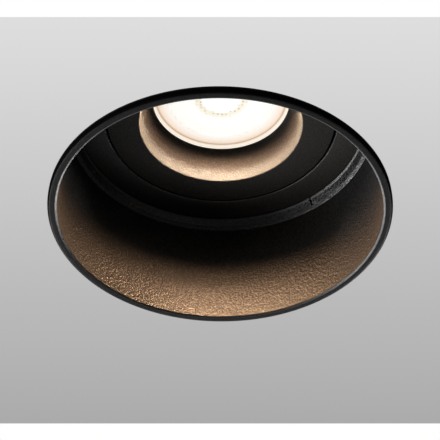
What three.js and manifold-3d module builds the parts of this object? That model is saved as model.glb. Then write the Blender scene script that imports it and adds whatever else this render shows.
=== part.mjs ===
// Recessed soffit downlight: a deep dark baffle, a carrier that swivels, a gimbal that tilts, a
// mains reflector lamp with its twist-on lampholder, and two sprung clips that hold it up.
//
// Units are millimetres. +Z points up into the soffit, and z = 0 is the underside of the soffit
// board. The axis of the mouth is the Z axis, and the light leaves downwards along -Z. The
// gimbal pivots about a line along X, and the clips stand at +X and -X.

import * as THREE from "three";
import { mergeVertices } from "three/addons/utils/BufferGeometryUtils.js";
import Module from "manifold-3d";

const wasm = await Module();
wasm.setup();

// Angles, and how finely round shapes are drawn
const QUARTER = Math.PI / 2;
const HALF = Math.PI;
const FULL = Math.PI * 2;
const degrees = THREE.MathUtils.degToRad;
const RING_STEPS = 64; // round the trim, carrier and gimbal
const LAMP_STEPS = 48; // round the lamp
const HOLDER_STEPS = 32; // round the lampholder
const SMALL_STEPS = 12; // round pins, screws and holes
const ARC_STEPS = 4; // along a quarter round in a profile
const HEX_SIDES = 6;

// Clearances shared by the whole part
const fitGap = 0.25; // between a piece and what it rests on or sits in
const overrun = 2; // how far every cut runs past what it cuts

// Trim: one casting with the lip, the baffle wall and the ledge at its top
const mouthDepth = 1.4; // front edge of the bore below the soffit
const lipWidth = 2.75; // from the bore out to the rim of the lip
const noseDrop = 1.05; // round nose of the lip below the front edge
const frontWall = 1.3; // wall thickness behind the lip
const outerDraft = 0.1; // the outside draws in by this much towards the top
const boreDraft = 0.4; // the bore draws in by this much up to the groove
const baffleDepth = 37.6; // from the front edge of the bore up to the groove
const ledgePlay = 0.85; // from the heads of the pivot screws to the opening of the ledge
const ledgeWidth = 6.1; // from its opening out to the bore
const ledgeThickness = 2.2;

// Foam seal between the lip and the soffit
const gasketThickness = 0.8;

// Split ring, sprung into the trim's groove, that holds the carrier up
const snapGrooveDepth = 0.5;
const snapThickness = 2.4;
const snapReach = 2.6; // from the bore in to its inner edge
const snapLand = 0.35; // straight edge before the slope starts
const snapGapWidth = 1.8;
const snapGapTurn = degrees(49);

// Carrier: a flat ring that turns inside the trim and carries the gimbal between two ears
const carrierThickness = 1.6;
const carrierSidePlay = 0.4;
const carrierEndPlay = 0.3;
const gimbalGap = 0.8; // open ring seen between carrier and gimbal

// Stops that end the carrier's turn before the leads twist
const studWidth = 2;
const studThickness = 1.1;
const studHeight = 1.3; // above the carrier
const studPlay = 0.3; // to the ledge
const tongueWidth = 4;
const tongueReach = 1.7; // inwards from the ledge
const tongueThickness = 1.2;

// Gimbal: dished plate, bowl, lamp seat and slotted collar in one casting
const gimbalReach = 10.2; // from the collar out to the rim of the plate
const gimbalPlate = 1.3;
const gimbalProud = 0.15; // its edge stands this far below the carrier's face
const dishDepth = 1.15; // the bowl's mouth stands this far below the plate's edge
const bowlFlare = 3.9; // the bowl widens by this much down to its mouth
const bowlMouthRound = 0.4;
const bowlDepth = 10.8;
const lampSeatLip = 2.3; // covers this much of the lamp's rim
const lampSeatThickness = 1;
const collarWall = 1.75;
const collarHeight = 12.9; // above the lamp seat's face
const collarFlare = 1.3; // the outside widens by this much down to the plate
const ventCount = 6;
const ventWidth = 8;
const ventHeight = 4.6;
const ventSill = 1.9; // above the lamp seat
const ribCount = 8;
const ribThickness = 1.4;
const ribHeight = 6.5;
const ribReach = 6.4; // from the collar out along the plate

// Pivots of the gimbal in the carrier's ears
const pivotRise = 6.1; // above the carrier's underside
const earWidth = 9;
const earTop = 4.2; // above the pivot
const gimbalEarThickness = 2.5;
const gimbalEarInset = 0.3; // from the plate's edge
const carrierEarThickness = 1.5;
const carrierEarInset = 1.2; // from the carrier's opening
const pivotShankRadius = 1.4;
const pivotHoleRadius = 1.65;
const pivotHeadRadius = 2.5;
const pivotHeadHeight = 1.6;
const pivotBushRadius = 3.1;
const pivotNutFlats = 5.5;
const pivotNutHeight = 2.2;
const pivotTail = 0.7; // thread past the nut

// Clip brackets: bent sheet steel, screwed down on the ledge
const bracketInset = 0.6; // from the ledge's opening
const bracketOuterInset = 1.6; // from the outside of the trim
const bracketThickness = 1;
const bracketEarRadius = 3.1;
const bracketEarThickness = 1.2;
const bracketScrewMargin = 4.9; // from the ears out to the end of the base
const clipScrewRadius = 1.15;
const clipScrewHole = 1.4;
const clipHeadRadius = 2.1;
const clipHeadHeight = 1.3;
const clipPivotReach = 3.9; // from the ledge's opening out to the pin
const clipPivotRise = 6.8; // above the ledge

// Clip pins, riveted over at both ends
const clipPinRadius = 1.15;
const clipPinHole = 1.4;
const clipPinHeadRadius = 2.1;
const clipPinHeadHeight = 0.9;

// Clip arms: sheet steel, bent down to press on the soffit
const armWidth = 12.4;
const armTipWidth = 9;
const armSheet = 0.9;
const armSidePlay = 0.3;
const cheekRadius = 3.2;
const armRootReach = 4.6; // the web starts here, clear of the spring
const armRootRise = 0.9;
const armKneeReach = 12;
const armKneeRise = 0.3;
const armTipReach = 28;
const armCurlReach = 3; // from the tip out to the lowest point
const armCurlDrop = 2.5;
const armFootRise = 2.925; // lowest point above the soffit's underside
const armEndReach = 2.5;
const armEndRise = 2;
const cheekDepth = 3.2; // side flanges below the web at the knee
const cheekEndShare = 0.5; // of the way from the knee to the tip, where the flanges run out

// Soft sleeves on the arms' tips
const padWall = 0.8;
const padPlay = 0.15;
const padStartShare = 0.8; // of the way from the knee to the tip

// Torsion springs on the clip pins
const springWire = 1.1;
const springRadius = 2.35; // to the middle of the wire
const springTurns = 4;
const springPitch = 1.65;
const springTurnSteps = 8;
const springSides = 5;
const springLegReach = 11;
const springLegDrop = 0.8; // the leg slopes down along the arm
const springEndStraight = springWire;

// Lamp housing: ribbed casting with a front bezel
const lampRadius = 25;
const lampSidePlay = 0.35;
const lampRimHeight = 7.4;
const lampWaistInset = 2.3; // step behind the rim
const lampTaperHeight = 27;
const lampNeckRadius = 12.4;
const lampNeckHeight = 4.5;
const lampNeckWall = 1.5;
const lampRoomWall = 1.5; // behind the slots
const heatPlateDrop = 1.2; // face of the heat plate below the top of the rim
const heatPlateThickness = 4.4; // solid metal behind the board
const finCount = 24;
const finSlotWidth = 1.4;
const finSlotDepth = 2.4;
const finStartShare = 0.08; // of the taper
const finEndShare = 0.88;

// Lamp lens: moulded front with a boss, a ring of dots and two rings
const lensBezel = 1.05; // wall of the housing round the lens
const lensThickness = 1.6;
const lensSetBack = 0.15;
const lensRimWidth = 1.1;
const lensRimStep = 0.35;
const lensBossRadius = 6.6;
const lensBossRise = 0.5;
const lensDotCount = 12;
const lensDotRadius = 0.8;
const lensDotRise = 0.35;
const lensDotCircle = 9.3;
const lensRingRadii = [13.2, 17.6];
const lensRingWidth = 1.1;
const lensRingRise = 0.3;
const lensLedge = 2.4; // the housing's room is narrower than the lens by this much
const DOT_STEPS = 6;

// Board with the light sources, and the driver board that stands behind it
const boardPlay = 1.05; // to the wall of the housing's room
const boardThickness = 1.2;
const ledCount = 6;
const ledSide = 2.8;
const ledHeight = 0.7;
const ledCircle = 6;
const driverWidth = 14;
const driverThickness = 1.6;
const driverLength = 20;
const capacitorRadius = 3.2;
const capacitorLength = 9;
const chokeSide = 5.5;
const chokeLength = 6;
const partInset = 0.4; // how deep a part on a board is let into it
const driverPartGap = 2; // from the board's lower end up to its parts

// Lamp base with its two headed pins
const baseRadius = 11.6;
const baseFlatReach = 9.4; // half the width across its flats
const baseHeight = 8.2;
const basePlugDepth = 3;
const baseWall = 2.4;
const baseTopThickness = 3.2;
const pinSpacing = 10;
const pinShankRadius = 1.6;
const pinShankLength = 4.6;
const pinHeadRadius = 2.4;
const pinHeadLength = 2.5;
const pinRootDepth = 3;
const pinNose = 0.5; // taper at the end of the head

// Wire ring that keeps the lamp in the collar, with its ends turned in and up
const ringWire = 1.8;
const ringGrooveDepth = 0.95;
const ringGap = degrees(36);
const ringTailInset = 1.1;
const ringTailRise = 3.6;

// Lampholder: ceramic body with keyhole slots, back cover, contacts and rivets
const holderRadius = 14.5;
const holderHeight = 15;
const holderChamfer = 1;
const holderFront = 3.6; // ceramic in front of the pockets
const keyTurn = degrees(30); // from the home end of a slot to its entry
const slotPlay = 0.3; // on each side of a pin's shank
const entryPlay = 0.3; // round a pin's head
const pocketPlay = 0.5; // on each side of a pin's head
const coverThickness = 3;
const leadHoleRadius = 1.7;
const leadHoleReach = 8.6;
const leadHoleTurn = degrees(-15);
const rivetRadius = 1.25;
const rivetHeadRadius = 2.2;
const rivetHeadHeight = 0.8;
const rivetReach = 10.4;
const contactSheet = 0.5;
const contactWidth = 2.8;
const contactInset = 1.9; // from the pin's middle in towards the axis
const contactReach = 2.2; // and out to the tail
const contactTail = 6;

// Earth terminal on the ledge
const earthScrewRadius = 1.75;
const earthHoleRadius = 2;
const earthHeadRadius = 3.3;
const earthHeadHeight = 2;
const earthWasherRadius = 3.6;
const earthWasherThickness = 0.7;
const earthTurn = degrees(-90);

// Shapes of all screw heads, as shares of the head
const headRimShare = 0.35; // straight edge, of its height
const crossWidthShare = 0.24; // of its radius
const crossReachShare = 0.62; // of its radius
const crossDepthShare = 0.65; // of its height

// Radii, worked out from the lamp outwards
const lampSeatRadius = lampRadius - lampSeatLip;
const bowlMouthRadius = lampSeatRadius + bowlFlare;
const collarBore = lampRadius + lampSidePlay;
const collarRadius = collarBore + collarWall;
const gimbalRadius = collarRadius + gimbalReach;
const carrierOpening = gimbalRadius + gimbalGap;
const carrierEarRadius = carrierOpening + carrierEarInset;
const pivotHeadTopRadius = carrierEarRadius + carrierEarThickness + fitGap + pivotHeadHeight;
const ledgeRadius = pivotHeadTopRadius + ledgePlay;
const boreRadius = ledgeRadius + ledgeWidth;
const mouthRadius = boreRadius + boreDraft;
const snapInnerRadius = boreRadius - snapReach;
const lampWaistRadius = lampRadius - lampWaistInset;
const lensRadius = lampRadius - lensBezel - fitGap;
const boardRadius = lensRadius + fitGap - lensLedge - boardPlay;

// Places in the trim
const lipRadius = mouthRadius + lipWidth;
const mouthZ = -mouthDepth;
const lipBackZ = -gasketThickness;
const trimFootRadius = mouthRadius + frontWall;
const trimTopRadius = trimFootRadius - outerDraft;
const grooveZ = mouthZ + baffleDepth;
const grooveRadius = boreRadius + snapGrooveDepth;
const grooveTopZ = grooveZ + snapThickness + fitGap;
const snapZ = grooveZ + fitGap / 2;
const snapTopZ = snapZ + snapThickness;
const carrierZ = snapTopZ + carrierEndPlay;
const carrierTopZ = carrierZ + carrierThickness;
const carrierRadius = boreRadius - carrierSidePlay;
const ledgeZ = carrierTopZ + carrierEndPlay;
const ledgeTopZ = ledgeZ + ledgeThickness;
const ledgeMiddle = (ledgeRadius + trimTopRadius) / 2;

// Places in the gimbal
const gimbalEdgeZ = carrierZ - gimbalProud;
const gimbalBackZ = gimbalEdgeZ + gimbalPlate;
const bowlMouthZ = gimbalEdgeZ - dishDepth;
const lampSeatZ = bowlMouthZ + bowlDepth;
const lampSeatTopZ = lampSeatZ + lampSeatThickness;
const collarTopZ = lampSeatZ + collarHeight;
const gimbalEarOuter = gimbalRadius - gimbalEarInset;
const gimbalEarInner = gimbalEarOuter - gimbalEarThickness;
const pivotZ = carrierZ + pivotRise;

// Places in the lamp and its holder
const lampFrontZ = lampSeatTopZ + fitGap;
const lensZ = lampFrontZ + lensSetBack;
const lensSeatZ = lensZ + lensThickness + fitGap;
const lampRimTopZ = lampFrontZ + lampRimHeight;
const lampTaperTopZ = lampRimTopZ + lampTaperHeight;
const lampBackZ = lampTaperTopZ + lampNeckHeight;
const heatPlateZ = lampRimTopZ - heatPlateDrop;
const roomFloorZ = heatPlateZ + heatPlateThickness;
const ringZ = lampRimTopZ + fitGap + ringWire / 2;
const ringRadius = collarBore + ringGrooveDepth - fitGap - ringWire / 2;
const baseZ = lampBackZ + fitGap;
const baseTopZ = baseZ + baseHeight;
const pinHeadZ = baseTopZ + pinShankLength;
const pinEndZ = pinHeadZ + pinHeadLength;
const holderZ = baseTopZ + fitGap;
const pocketZ = holderZ + holderFront;
const holderTopZ = holderZ + holderHeight;
const coverZ = holderTopZ + fitGap;
const coverTopZ = coverZ + coverThickness;
const contactZ = pinEndZ + fitGap;

// Places in the clips, measured from each clip's pin
const clipPinX = ledgeRadius + clipPivotReach;
const clipPinZ = ledgeTopZ + clipPivotRise;
const armTipDrop = clipPinZ - armCurlDrop - armFootRise;
const bracketZ = ledgeTopZ + fitGap - clipPinZ;
const bracketTopZ = bracketZ + bracketThickness;
const bracketInnerX = ledgeRadius + bracketInset - clipPinX;
const bracketOuterX = trimTopRadius - bracketOuterInset - clipPinX;
const earNear = armWidth / 2 + armSidePlay;
const earFar = earNear + bracketEarThickness;
const bracketReach = earFar + bracketScrewMargin;
const clipScrewX = ledgeMiddle - clipPinX;
const clipScrewY = (earFar + bracketReach) / 2;

// Makes a solid that can be cut and joined from a closed geometry
function solid(geometry) {
  const bare = new THREE.BufferGeometry();
  bare.setAttribute("position", geometry.getAttribute("position").clone());
  if (geometry.index) bare.setIndex(geometry.index.clone());
  const merged = mergeVertices(bare);
  const corners = [];
  for (let i = 0; i < merged.index.count; i += 3) {
    const [a, b, c] = [0, 1, 2].map((step) => merged.index.getX(i + step));
    if (a !== b && b !== c && c !== a) corners.push(a, b, c);
  }
  return new wasm.Manifold(
    new wasm.Mesh({
      numProp: 3,
      vertProperties: new Float32Array(merged.attributes.position.array),
      triVerts: new Uint32Array(corners),
    }),
  );
}

// Makes a geometry from a solid
function geometryOf(body) {
  const mesh = body.getMesh();
  const geometry = new THREE.BufferGeometry();
  const places = new Float32Array(mesh.vertProperties);
  geometry.setAttribute("position", new THREE.BufferAttribute(places, 3));
  geometry.setIndex(new THREE.BufferAttribute(new Uint32Array(mesh.triVerts), 1));
  geometry.computeVertexNormals();
  return geometry;
}

// Joins geometries to a first one, and then cuts others away
function shaped(first, joined, cut) {
  let body = solid(first);
  for (const piece of joined) body = body.add(solid(piece));
  for (const piece of cut) body = body.subtract(solid(piece));
  return geometryOf(body);
}

// Copies of a geometry, turned evenly about the Z axis
function around(geometry, count, start = 0) {
  return Array.from({ length: count }, (_, i) => geometry.clone().rotateZ(start + (FULL * i) / count));
}

// Turns an outline of [radius, height] points, listed anticlockwise, about the Z axis. An
// outline that touches the axis starts and ends on it, and any other is closed into a ring.
function turned(outline, steps) {
  const onAxis = outline[0][0] === 0;
  const closed = onAxis ? outline : [...outline, outline[0]];
  const profile = closed.map(([radius, height]) => new THREE.Vector2(radius, height));
  return new THREE.LatheGeometry(profile, steps).rotateX(QUARTER);
}

// A plain cylinder on the Z axis, from one height to another
function column(radius, bottom, top, steps = SMALL_STEPS) {
  return new THREE.CylinderGeometry(radius, radius, top - bottom, steps)
    .rotateX(QUARTER)
    .translate(0, 0, (bottom + top) / 2);
}

// A flat ring on the Z axis
function washer(bore, outer, bottom, top, steps = SMALL_STEPS) {
  return turned([[bore, bottom], [outer, bottom], [outer, top], [bore, top]], steps);
}

// A box between two corners
function block([x0, y0, z0], [x1, y1, z1]) {
  return new THREE.BoxGeometry(x1 - x0, y1 - y0, z1 - z0)
    .translate((x0 + x1) / 2, (y0 + y1) / 2, (z0 + z1) / 2);
}

// A flat outline of [x, y] points, raised from one height to another
function raised(points, bottom, top) {
  const shape = new THREE.Shape(points.map(([x, y]) => new THREE.Vector2(x, y)));
  return new THREE.ExtrudeGeometry(shape, { depth: top - bottom, bevelEnabled: false })
    .translate(0, 0, bottom);
}

// A side outline of [x, z] points, carried along Y from one place to another
function sideways(points, near, far) {
  return raised(points, -far, -near).rotateX(QUARTER);
}

// A front outline of [y, z] points, carried along X from one place to another
function crossways(points, inner, outer) {
  return raised(points, inner, outer).rotateX(QUARTER).rotateZ(QUARTER);
}

// Points along an arc or a part of an ellipse about a centre
function arc(x, y, radiusX, radiusY, from, to, steps = ARC_STEPS) {
  return Array.from({ length: steps + 1 }, (_, i) => {
    const angle = from + ((to - from) * i) / steps;
    return [x + radiusX * Math.cos(angle), y + radiusY * Math.sin(angle)];
  });
}

// Round wire along a list of points, with its ends cut square
function wire(points, diameter, sides, steps) {
  const path = new THREE.CatmullRomCurve3(points, false, "centripetal");
  const round = arc(0, 0, diameter / 2, diameter / 2, 0, FULL, sides).slice(1);
  const section = new THREE.Shape(round.map(([x, y]) => new THREE.Vector2(x, y)));
  return new THREE.ExtrudeGeometry(section, { steps, extrudePath: path, bevelEnabled: false });
}

// Pan-head screw with a cross recess. The underside of its head lies at zero, and its shank
// points down.
function screw(shank, length, head, height) {
  const rim = height * headRimShare;
  const dome = arc(0, rim, head, height - rim, 0, QUARTER, ARC_STEPS - 1).slice(0, -1);
  const outline = [[0, -length], [shank, -length], [shank, 0], [head, 0], ...dome, [0, height]];
  const wide = (head * crossWidthShare) / 2;
  const long = head * crossReachShare;
  const floor = height * (1 - crossDepthShare);
  const groove = block([-long, -wide, floor], [long, wide, height + overrun]);
  return shaped(turned(outline, SMALL_STEPS), [], [groove, groove.clone().rotateZ(QUARTER)]);
}

// Hexagon nut with a plain bore, standing on zero
function nut(flats, height, bore) {
  const corner = flats / 2 / Math.cos(HALF / HEX_SIDES);
  const hole = column(bore, -overrun, height + overrun);
  return shaped(column(corner, 0, height, HEX_SIDES), [], [hole]);
}

// Finishes: textured black coat on the castings, bare and plated metals, and plastics
const finishes = {
  blackCoat: { color: 0x35332f, roughness: 0.62, metalness: 0.1 },
  blackSteel: { color: 0x2e2d2b, roughness: 0.5, metalness: 0.4 },
  foam: { color: 0x1b1b1a, roughness: 0.95, metalness: 0 },
  zincSteel: { color: 0xb4b6b8, roughness: 0.38, metalness: 0.9 },
  springSteel: { color: 0x9a9a97, roughness: 0.32, metalness: 0.95 },
  nylon: { color: 0xd8d4c8, roughness: 0.55, metalness: 0 },
  silicone: { color: 0xc9c8c2, roughness: 0.7, metalness: 0 },
  castAluminium: { color: 0xc4c6c8, roughness: 0.45, metalness: 0.85 },
  lens: { color: 0xfff1dc, roughness: 0.25, metalness: 0 },
  boardWhite: { color: 0xe9e7df, roughness: 0.5, metalness: 0 },
  boardGreen: { color: 0x2f6b45, roughness: 0.5, metalness: 0 },
  whitePlastic: { color: 0xe6e3da, roughness: 0.4, metalness: 0 },
  ceramic: { color: 0xe9e5da, roughness: 0.55, metalness: 0 },
  brass: { color: 0xc7a45a, roughness: 0.35, metalness: 0.95 },
};

// A named piece of the assembly
function piece(name, geometry, finish, place = [0, 0, 0], turn = [0, 0, 0]) {
  const mesh = new THREE.Mesh(geometry, new THREE.MeshStandardMaterial(finishes[finish]));
  mesh.name = name;
  mesh.position.set(...place);
  mesh.rotation.set(...turn);
  return mesh;
}

// Trim casting: lip, baffle wall, groove for the split ring, ledge, stop tongue and screw holes
function trimRing() {
  const lip = arc(mouthRadius + lipWidth / 2, mouthZ, lipWidth / 2, noseDrop, -HALF, 0, 2 * ARC_STEPS);
  const outline = [
    ...lip,
    [lipRadius, lipBackZ],
    [trimFootRadius, lipBackZ],
    [trimTopRadius, ledgeTopZ],
    [ledgeRadius, ledgeTopZ],
    [ledgeRadius, ledgeZ],
    [boreRadius, ledgeZ],
    [boreRadius, grooveTopZ],
    [grooveRadius, grooveTopZ],
    [grooveRadius, grooveZ],
    [boreRadius, grooveZ],
  ];
  const halfTongue = tongueWidth / 2;
  const tongue = block(
    [-halfTongue, ledgeRadius - tongueReach, ledgeZ],
    [halfTongue, ledgeMiddle, ledgeZ + tongueThickness],
  );
  const drill = (radius) => column(radius, ledgeZ - overrun, ledgeTopZ + overrun);
  const holes = [drill(earthHoleRadius).translate(ledgeMiddle, 0, 0).rotateZ(earthTurn)];
  for (const y of [-clipScrewY, clipScrewY]) {
    const hole = drill(clipScrewHole).translate(ledgeMiddle, y, 0);
    holes.push(hole, hole.clone().rotateZ(HALF));
  }
  return shaped(turned(outline, RING_STEPS), [tongue], holes);
}

// Foam seal on the back of the lip
function ceilingGasket() {
  return washer(trimFootRadius + fitGap / 2, lipRadius, lipBackZ, 0, RING_STEPS);
}

// Split ring with a sloped face, which shows at the top of the baffle
function carrierSnapRing() {
  const outer = grooveRadius - fitGap;
  const footRadius = boreRadius - fitGap;
  const outline = [
    [footRadius, snapZ],
    [outer, snapZ],
    [outer, snapTopZ],
    [snapInnerRadius, snapTopZ],
    [snapInnerRadius, snapTopZ - snapLand],
  ];
  const half = snapGapWidth / 2;
  const gap = block(
    [snapInnerRadius - overrun, -half, snapZ - overrun],
    [outer + overrun, half, snapTopZ + overrun],
  );
  return shaped(turned(outline, RING_STEPS), [], [gap.rotateZ(snapGapTurn)]);
}

// An upright ear at +X with a round top and a hole across it, reaching down to a root
function ear(inner, thickness, root) {
  const half = earWidth / 2;
  const crown = arc(0, pivotZ, half, earTop, 0, HALF, 2 * ARC_STEPS);
  const plate = crossways([[-half, root], [half, root], ...crown], inner, inner + thickness);
  const drill = column(pivotHoleRadius, -overrun, thickness + overrun)
    .rotateY(QUARTER)
    .translate(inner, 0, pivotZ);
  return shaped(plate, [], [drill]);
}

// Carrier ring with its two ears and the stud that ends its turn
function carrierRing() {
  const disc = washer(carrierOpening, carrierRadius, carrierZ, carrierTopZ, RING_STEPS);
  const root = carrierZ + carrierThickness / 2;
  const ears = around(ear(carrierEarRadius, carrierEarThickness, root), 2);
  const studOuter = ledgeRadius - studPlay;
  const half = studWidth / 2;
  const stud = block(
    [-half, -studOuter, root],
    [half, studThickness - studOuter, carrierTopZ + studHeight],
  );
  return shaped(disc, [...ears, stud], []);
}

// Turned outline of the gimbal, from the rim of the bowl outwards and round
function gimbalOutline() {
  const lip = arc(bowlMouthRadius + bowlMouthRound, bowlMouthZ + bowlMouthRound,
    bowlMouthRound, bowlMouthRound, -HALF, -QUARTER, ARC_STEPS - 2);
  const ringBottom = ringZ - ringWire / 2 - fitGap / 2;
  const ringTop = ringZ + ringWire / 2 + fitGap / 2;
  const ringGroove = collarBore + ringGrooveDepth;
  return [
    ...lip,
    [gimbalRadius, gimbalEdgeZ],
    [gimbalRadius, gimbalBackZ],
    [collarRadius + collarFlare, gimbalBackZ],
    [collarRadius, lampSeatZ],
    [collarRadius, collarTopZ],
    [collarBore, collarTopZ],
    [collarBore, ringTop],
    [ringGroove, ringTop],
    [ringGroove, ringBottom],
    [collarBore, ringBottom],
    [collarBore, lampSeatTopZ],
    [lampSeatRadius, lampSeatTopZ],
    [lampSeatRadius, lampSeatZ],
  ];
}

// Gimbal casting with radial ribs, vent windows and two ears
function gimbalRing() {
  const root = gimbalBackZ - gimbalPlate / 2;
  const ribInner = collarRadius - collarWall / 2;
  const ribOuter = collarRadius + ribReach;
  const rib = sideways([
    [ribInner, root],
    [ribOuter, root],
    [ribOuter, gimbalBackZ],
    [ribInner, gimbalBackZ + ribHeight],
  ], -ribThickness / 2, ribThickness / 2);
  const sill = lampSeatTopZ + ventSill;
  const vent = block(
    [collarBore - overrun, -ventWidth / 2, sill],
    [collarRadius + overrun, ventWidth / 2, sill + ventHeight],
  );
  const ears = around(ear(gimbalEarInner, gimbalEarThickness, root), 2);
  return shaped(
    turned(gimbalOutline(), RING_STEPS),
    [...around(rib, ribCount, HALF / ribCount), ...ears],
    around(vent, ventCount),
  );
}

// Pivot on one side: screw from outside the carrier's ear, bush between the ears, and lock nut
function pivot(side, turn) {
  const headX = carrierEarRadius + carrierEarThickness + fitGap;
  const bushX = gimbalEarOuter + fitGap;
  const bushLength = carrierEarRadius - fitGap - bushX;
  const nutX = gimbalEarInner - fitGap - pivotNutHeight;
  const length = headX - nutX + pivotTail;
  const across = [0, QUARTER, 0];
  const group = new THREE.Group();
  group.rotation.z = turn;
  group.position.z = pivotZ;
  group.add(
    piece(`pivot_screw_${side}`, screw(pivotShankRadius, length, pivotHeadRadius, pivotHeadHeight),
      "zincSteel", [headX, 0, 0], across),
    piece(`pivot_bush_${side}`, washer(pivotHoleRadius, pivotBushRadius, 0, bushLength),
      "nylon", [bushX, 0, 0], across),
    piece(`pivot_nut_${side}`, nut(pivotNutFlats, pivotNutHeight, pivotHoleRadius),
      "zincSteel", [nutX, 0, 0], across),
  );
  return group;
}

// Bracket of one clip: base on the ledge, and two ears bent up from it
function clipBracket() {
  const base = block([bracketInnerX, -bracketReach, bracketZ], [bracketOuterX, bracketReach, bracketTopZ]);
  const root = bracketTopZ - bracketThickness / 2;
  const crown = arc(0, 0, bracketEarRadius, bracketEarRadius, 0, HALF, 2 * ARC_STEPS);
  const outline = [[bracketInnerX, root], [bracketOuterX, root], ...crown];
  const ears = [sideways(outline, earNear, earFar), sideways(outline, -earFar, -earNear)];
  const pinHole = column(clipPinHole, -earFar - overrun, earFar + overrun).rotateX(QUARTER);
  const screwHole = column(clipScrewHole, bracketZ - overrun, bracketTopZ + overrun);
  const screwHoles = [-clipScrewY, clipScrewY].map((y) => screwHole.clone().translate(clipScrewX, y, 0));
  return shaped(base, ears, [pinHole, ...screwHoles]);
}

// Pin of one clip, lying along Y
function clipPin() {
  const shank = earFar + fitGap;
  const end = shank + clipPinHeadHeight;
  const outline = [
    [0, -end],
    [clipPinHeadRadius, -end],
    [clipPinHeadRadius, -shank],
    [clipPinRadius, -shank],
    [clipPinRadius, shank],
    [clipPinHeadRadius, shank],
    [clipPinHeadRadius, end],
    [0, end],
  ];
  return turned(outline, SMALL_STEPS).rotateX(QUARTER);
}

// Side view of the arm's middle line: root, knee, tip, lowest point of the curl, and end
function armLine() {
  const lowX = armTipReach + armCurlReach;
  const lowZ = -armTipDrop - armCurlDrop;
  return [
    [armRootReach, armRootRise],
    [armKneeReach, armKneeRise],
    [armTipReach, -armTipDrop],
    [lowX, lowZ],
    [lowX + armEndReach, lowZ + armEndRise],
  ];
}

// Gives a bent line a thickness: the points on its left, then back along its right
function strip(points, thickness) {
  const along = points.slice(1).map(([x, y], i) =>
    new THREE.Vector2(x - points[i][0], y - points[i][1]).normalize());
  const edge = (offset) => points.map(([x, y], i) => {
    const before = along[Math.max(i - 1, 0)];
    const after = along[Math.min(i, along.length - 1)];
    const middle = before.clone().add(after).normalize();
    const reach = offset / middle.dot(before);
    return [x - middle.y * reach, y + middle.x * reach];
  });
  return [...edge(-thickness / 2), ...edge(thickness / 2).reverse()];
}

// Plan outline of the arm, as wide as the bracket takes and narrower towards the tip
function armPlan(extra) {
  const end = armTipReach + armCurlReach + armEndReach + overrun;
  const wide = armWidth / 2 + extra;
  const narrow = armTipWidth / 2 + extra;
  const low = -armTipDrop - armCurlDrop - cheekRadius;
  return raised([
    [-cheekRadius - overrun, -wide],
    [armKneeReach, -wide],
    [end, -narrow],
    [end, narrow],
    [armKneeReach, wide],
    [-cheekRadius - overrun, wide],
  ], low, cheekRadius + overrun);
}

// Arm of one clip: a bent web, and two cheeks that ride on the pin and stiffen the bend
function clipArm() {
  const half = armWidth / 2;
  const line = armLine();
  const [root, knee, tip] = line;
  const web = sideways(strip(line, armSheet), -half, half);
  const fade = knee.map((value, i) => value + (tip[i] - value) * cheekEndShare);
  const cheek = [
    ...arc(0, 0, cheekRadius, cheekRadius, QUARTER, HALF + QUARTER, 2 * ARC_STEPS),
    [armKneeReach - cheekDepth, -cheekDepth],
    fade,
    knee,
    root,
  ];
  const cheeks = [
    sideways(cheek, half - armSheet, half),
    sideways(cheek, -half, armSheet - half),
  ];
  const pinHole = column(clipPinHole, -half - overrun, half + overrun).rotateX(QUARTER);
  const whole = shaped(web, cheeks, [pinHole]);
  return geometryOf(solid(whole).intersect(solid(armPlan(0))));
}

// A point that lies on the line from one point to another, or past it
function beyond(from, to, extra) {
  const reach = Math.hypot(to[0] - from[0], to[1] - from[1]);
  return to.map((value, i) => value + ((value - from[i]) * extra) / reach);
}

// Soft sleeve pushed on to the lower end of one arm, and open at both ends
function clipPad() {
  const [, knee, tip, low, end] = armLine();
  const start = knee.map((value, i) => value + (tip[i] - value) * padStartShare);
  const line = [start, tip, low, end];
  const roomLine = [beyond(tip, start, overrun), tip, low, beyond(low, end, overrun)];
  const inner = armSheet + padPlay * 2;
  const half = armWidth / 2;
  const sleeve = solid(sideways(strip(line, inner + padWall * 2), -half, half))
    .intersect(solid(armPlan(padPlay + padWall)));
  const room = solid(sideways(strip(roomLine, inner), -half, half))
    .intersect(solid(armPlan(padPlay)));
  return geometryOf(sleeve.subtract(room));
}

// Middle line of one spring: a leg that stands on the bracket, turns round the pin, and a leg
// that lies on the arm's web and presses it down
function springLine() {
  const sweep = FULL * springTurns + QUARTER;
  const half = ((sweep / FULL) * springPitch) / 2;
  const steps = springTurns * springTurnSteps + springTurnSteps / 4;
  const coil = Array.from({ length: steps + 1 }, (_, i) => {
    const angle = HALF - (sweep * i) / steps;
    const along = -half + (2 * half * i) / steps;
    return [springRadius * Math.cos(angle), along, springRadius * Math.sin(angle)];
  });
  const foot = bracketTopZ + fitGap;
  const slope = springLegDrop / springLegReach;
  return [
    [-springRadius, -half, foot],
    [-springRadius, -half, foot + springEndStraight],
    ...coil,
    [springLegReach - springEndStraight, half, springRadius - springLegDrop + slope * springEndStraight],
    [springLegReach, half, springRadius - springLegDrop],
  ].map((place) => new THREE.Vector3(...place));
}

// Least space between stretches of a wire that aren't neighbours, for the report
function leastGap(points, diameter) {
  const curve = new THREE.CatmullRomCurve3(points, false, "centripetal");
  const samples = curve.getSpacedPoints(points.length * ARC_STEPS);
  const spacing = curve.getLength() / (samples.length - 1);
  const skip = Math.ceil((HALF * diameter) / spacing);
  let least = Infinity;
  samples.forEach((here, i) => {
    for (let j = i + skip; j < samples.length; j += 1) {
      least = Math.min(least, here.distanceTo(samples[j]) - diameter);
    }
  });
  return least;
}

// Torsion spring of one clip, drawn with the same number of steps to each turn throughout
function clipSpring() {
  const points = springLine();
  const curve = new THREE.CatmullRomCurve3(points, false, "centripetal");
  const stepLength = (FULL * springRadius) / springTurnSteps;
  const steps = Math.round(curve.getLength() / stepLength);
  return wire(points, springWire, springSides, steps);
}

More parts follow.
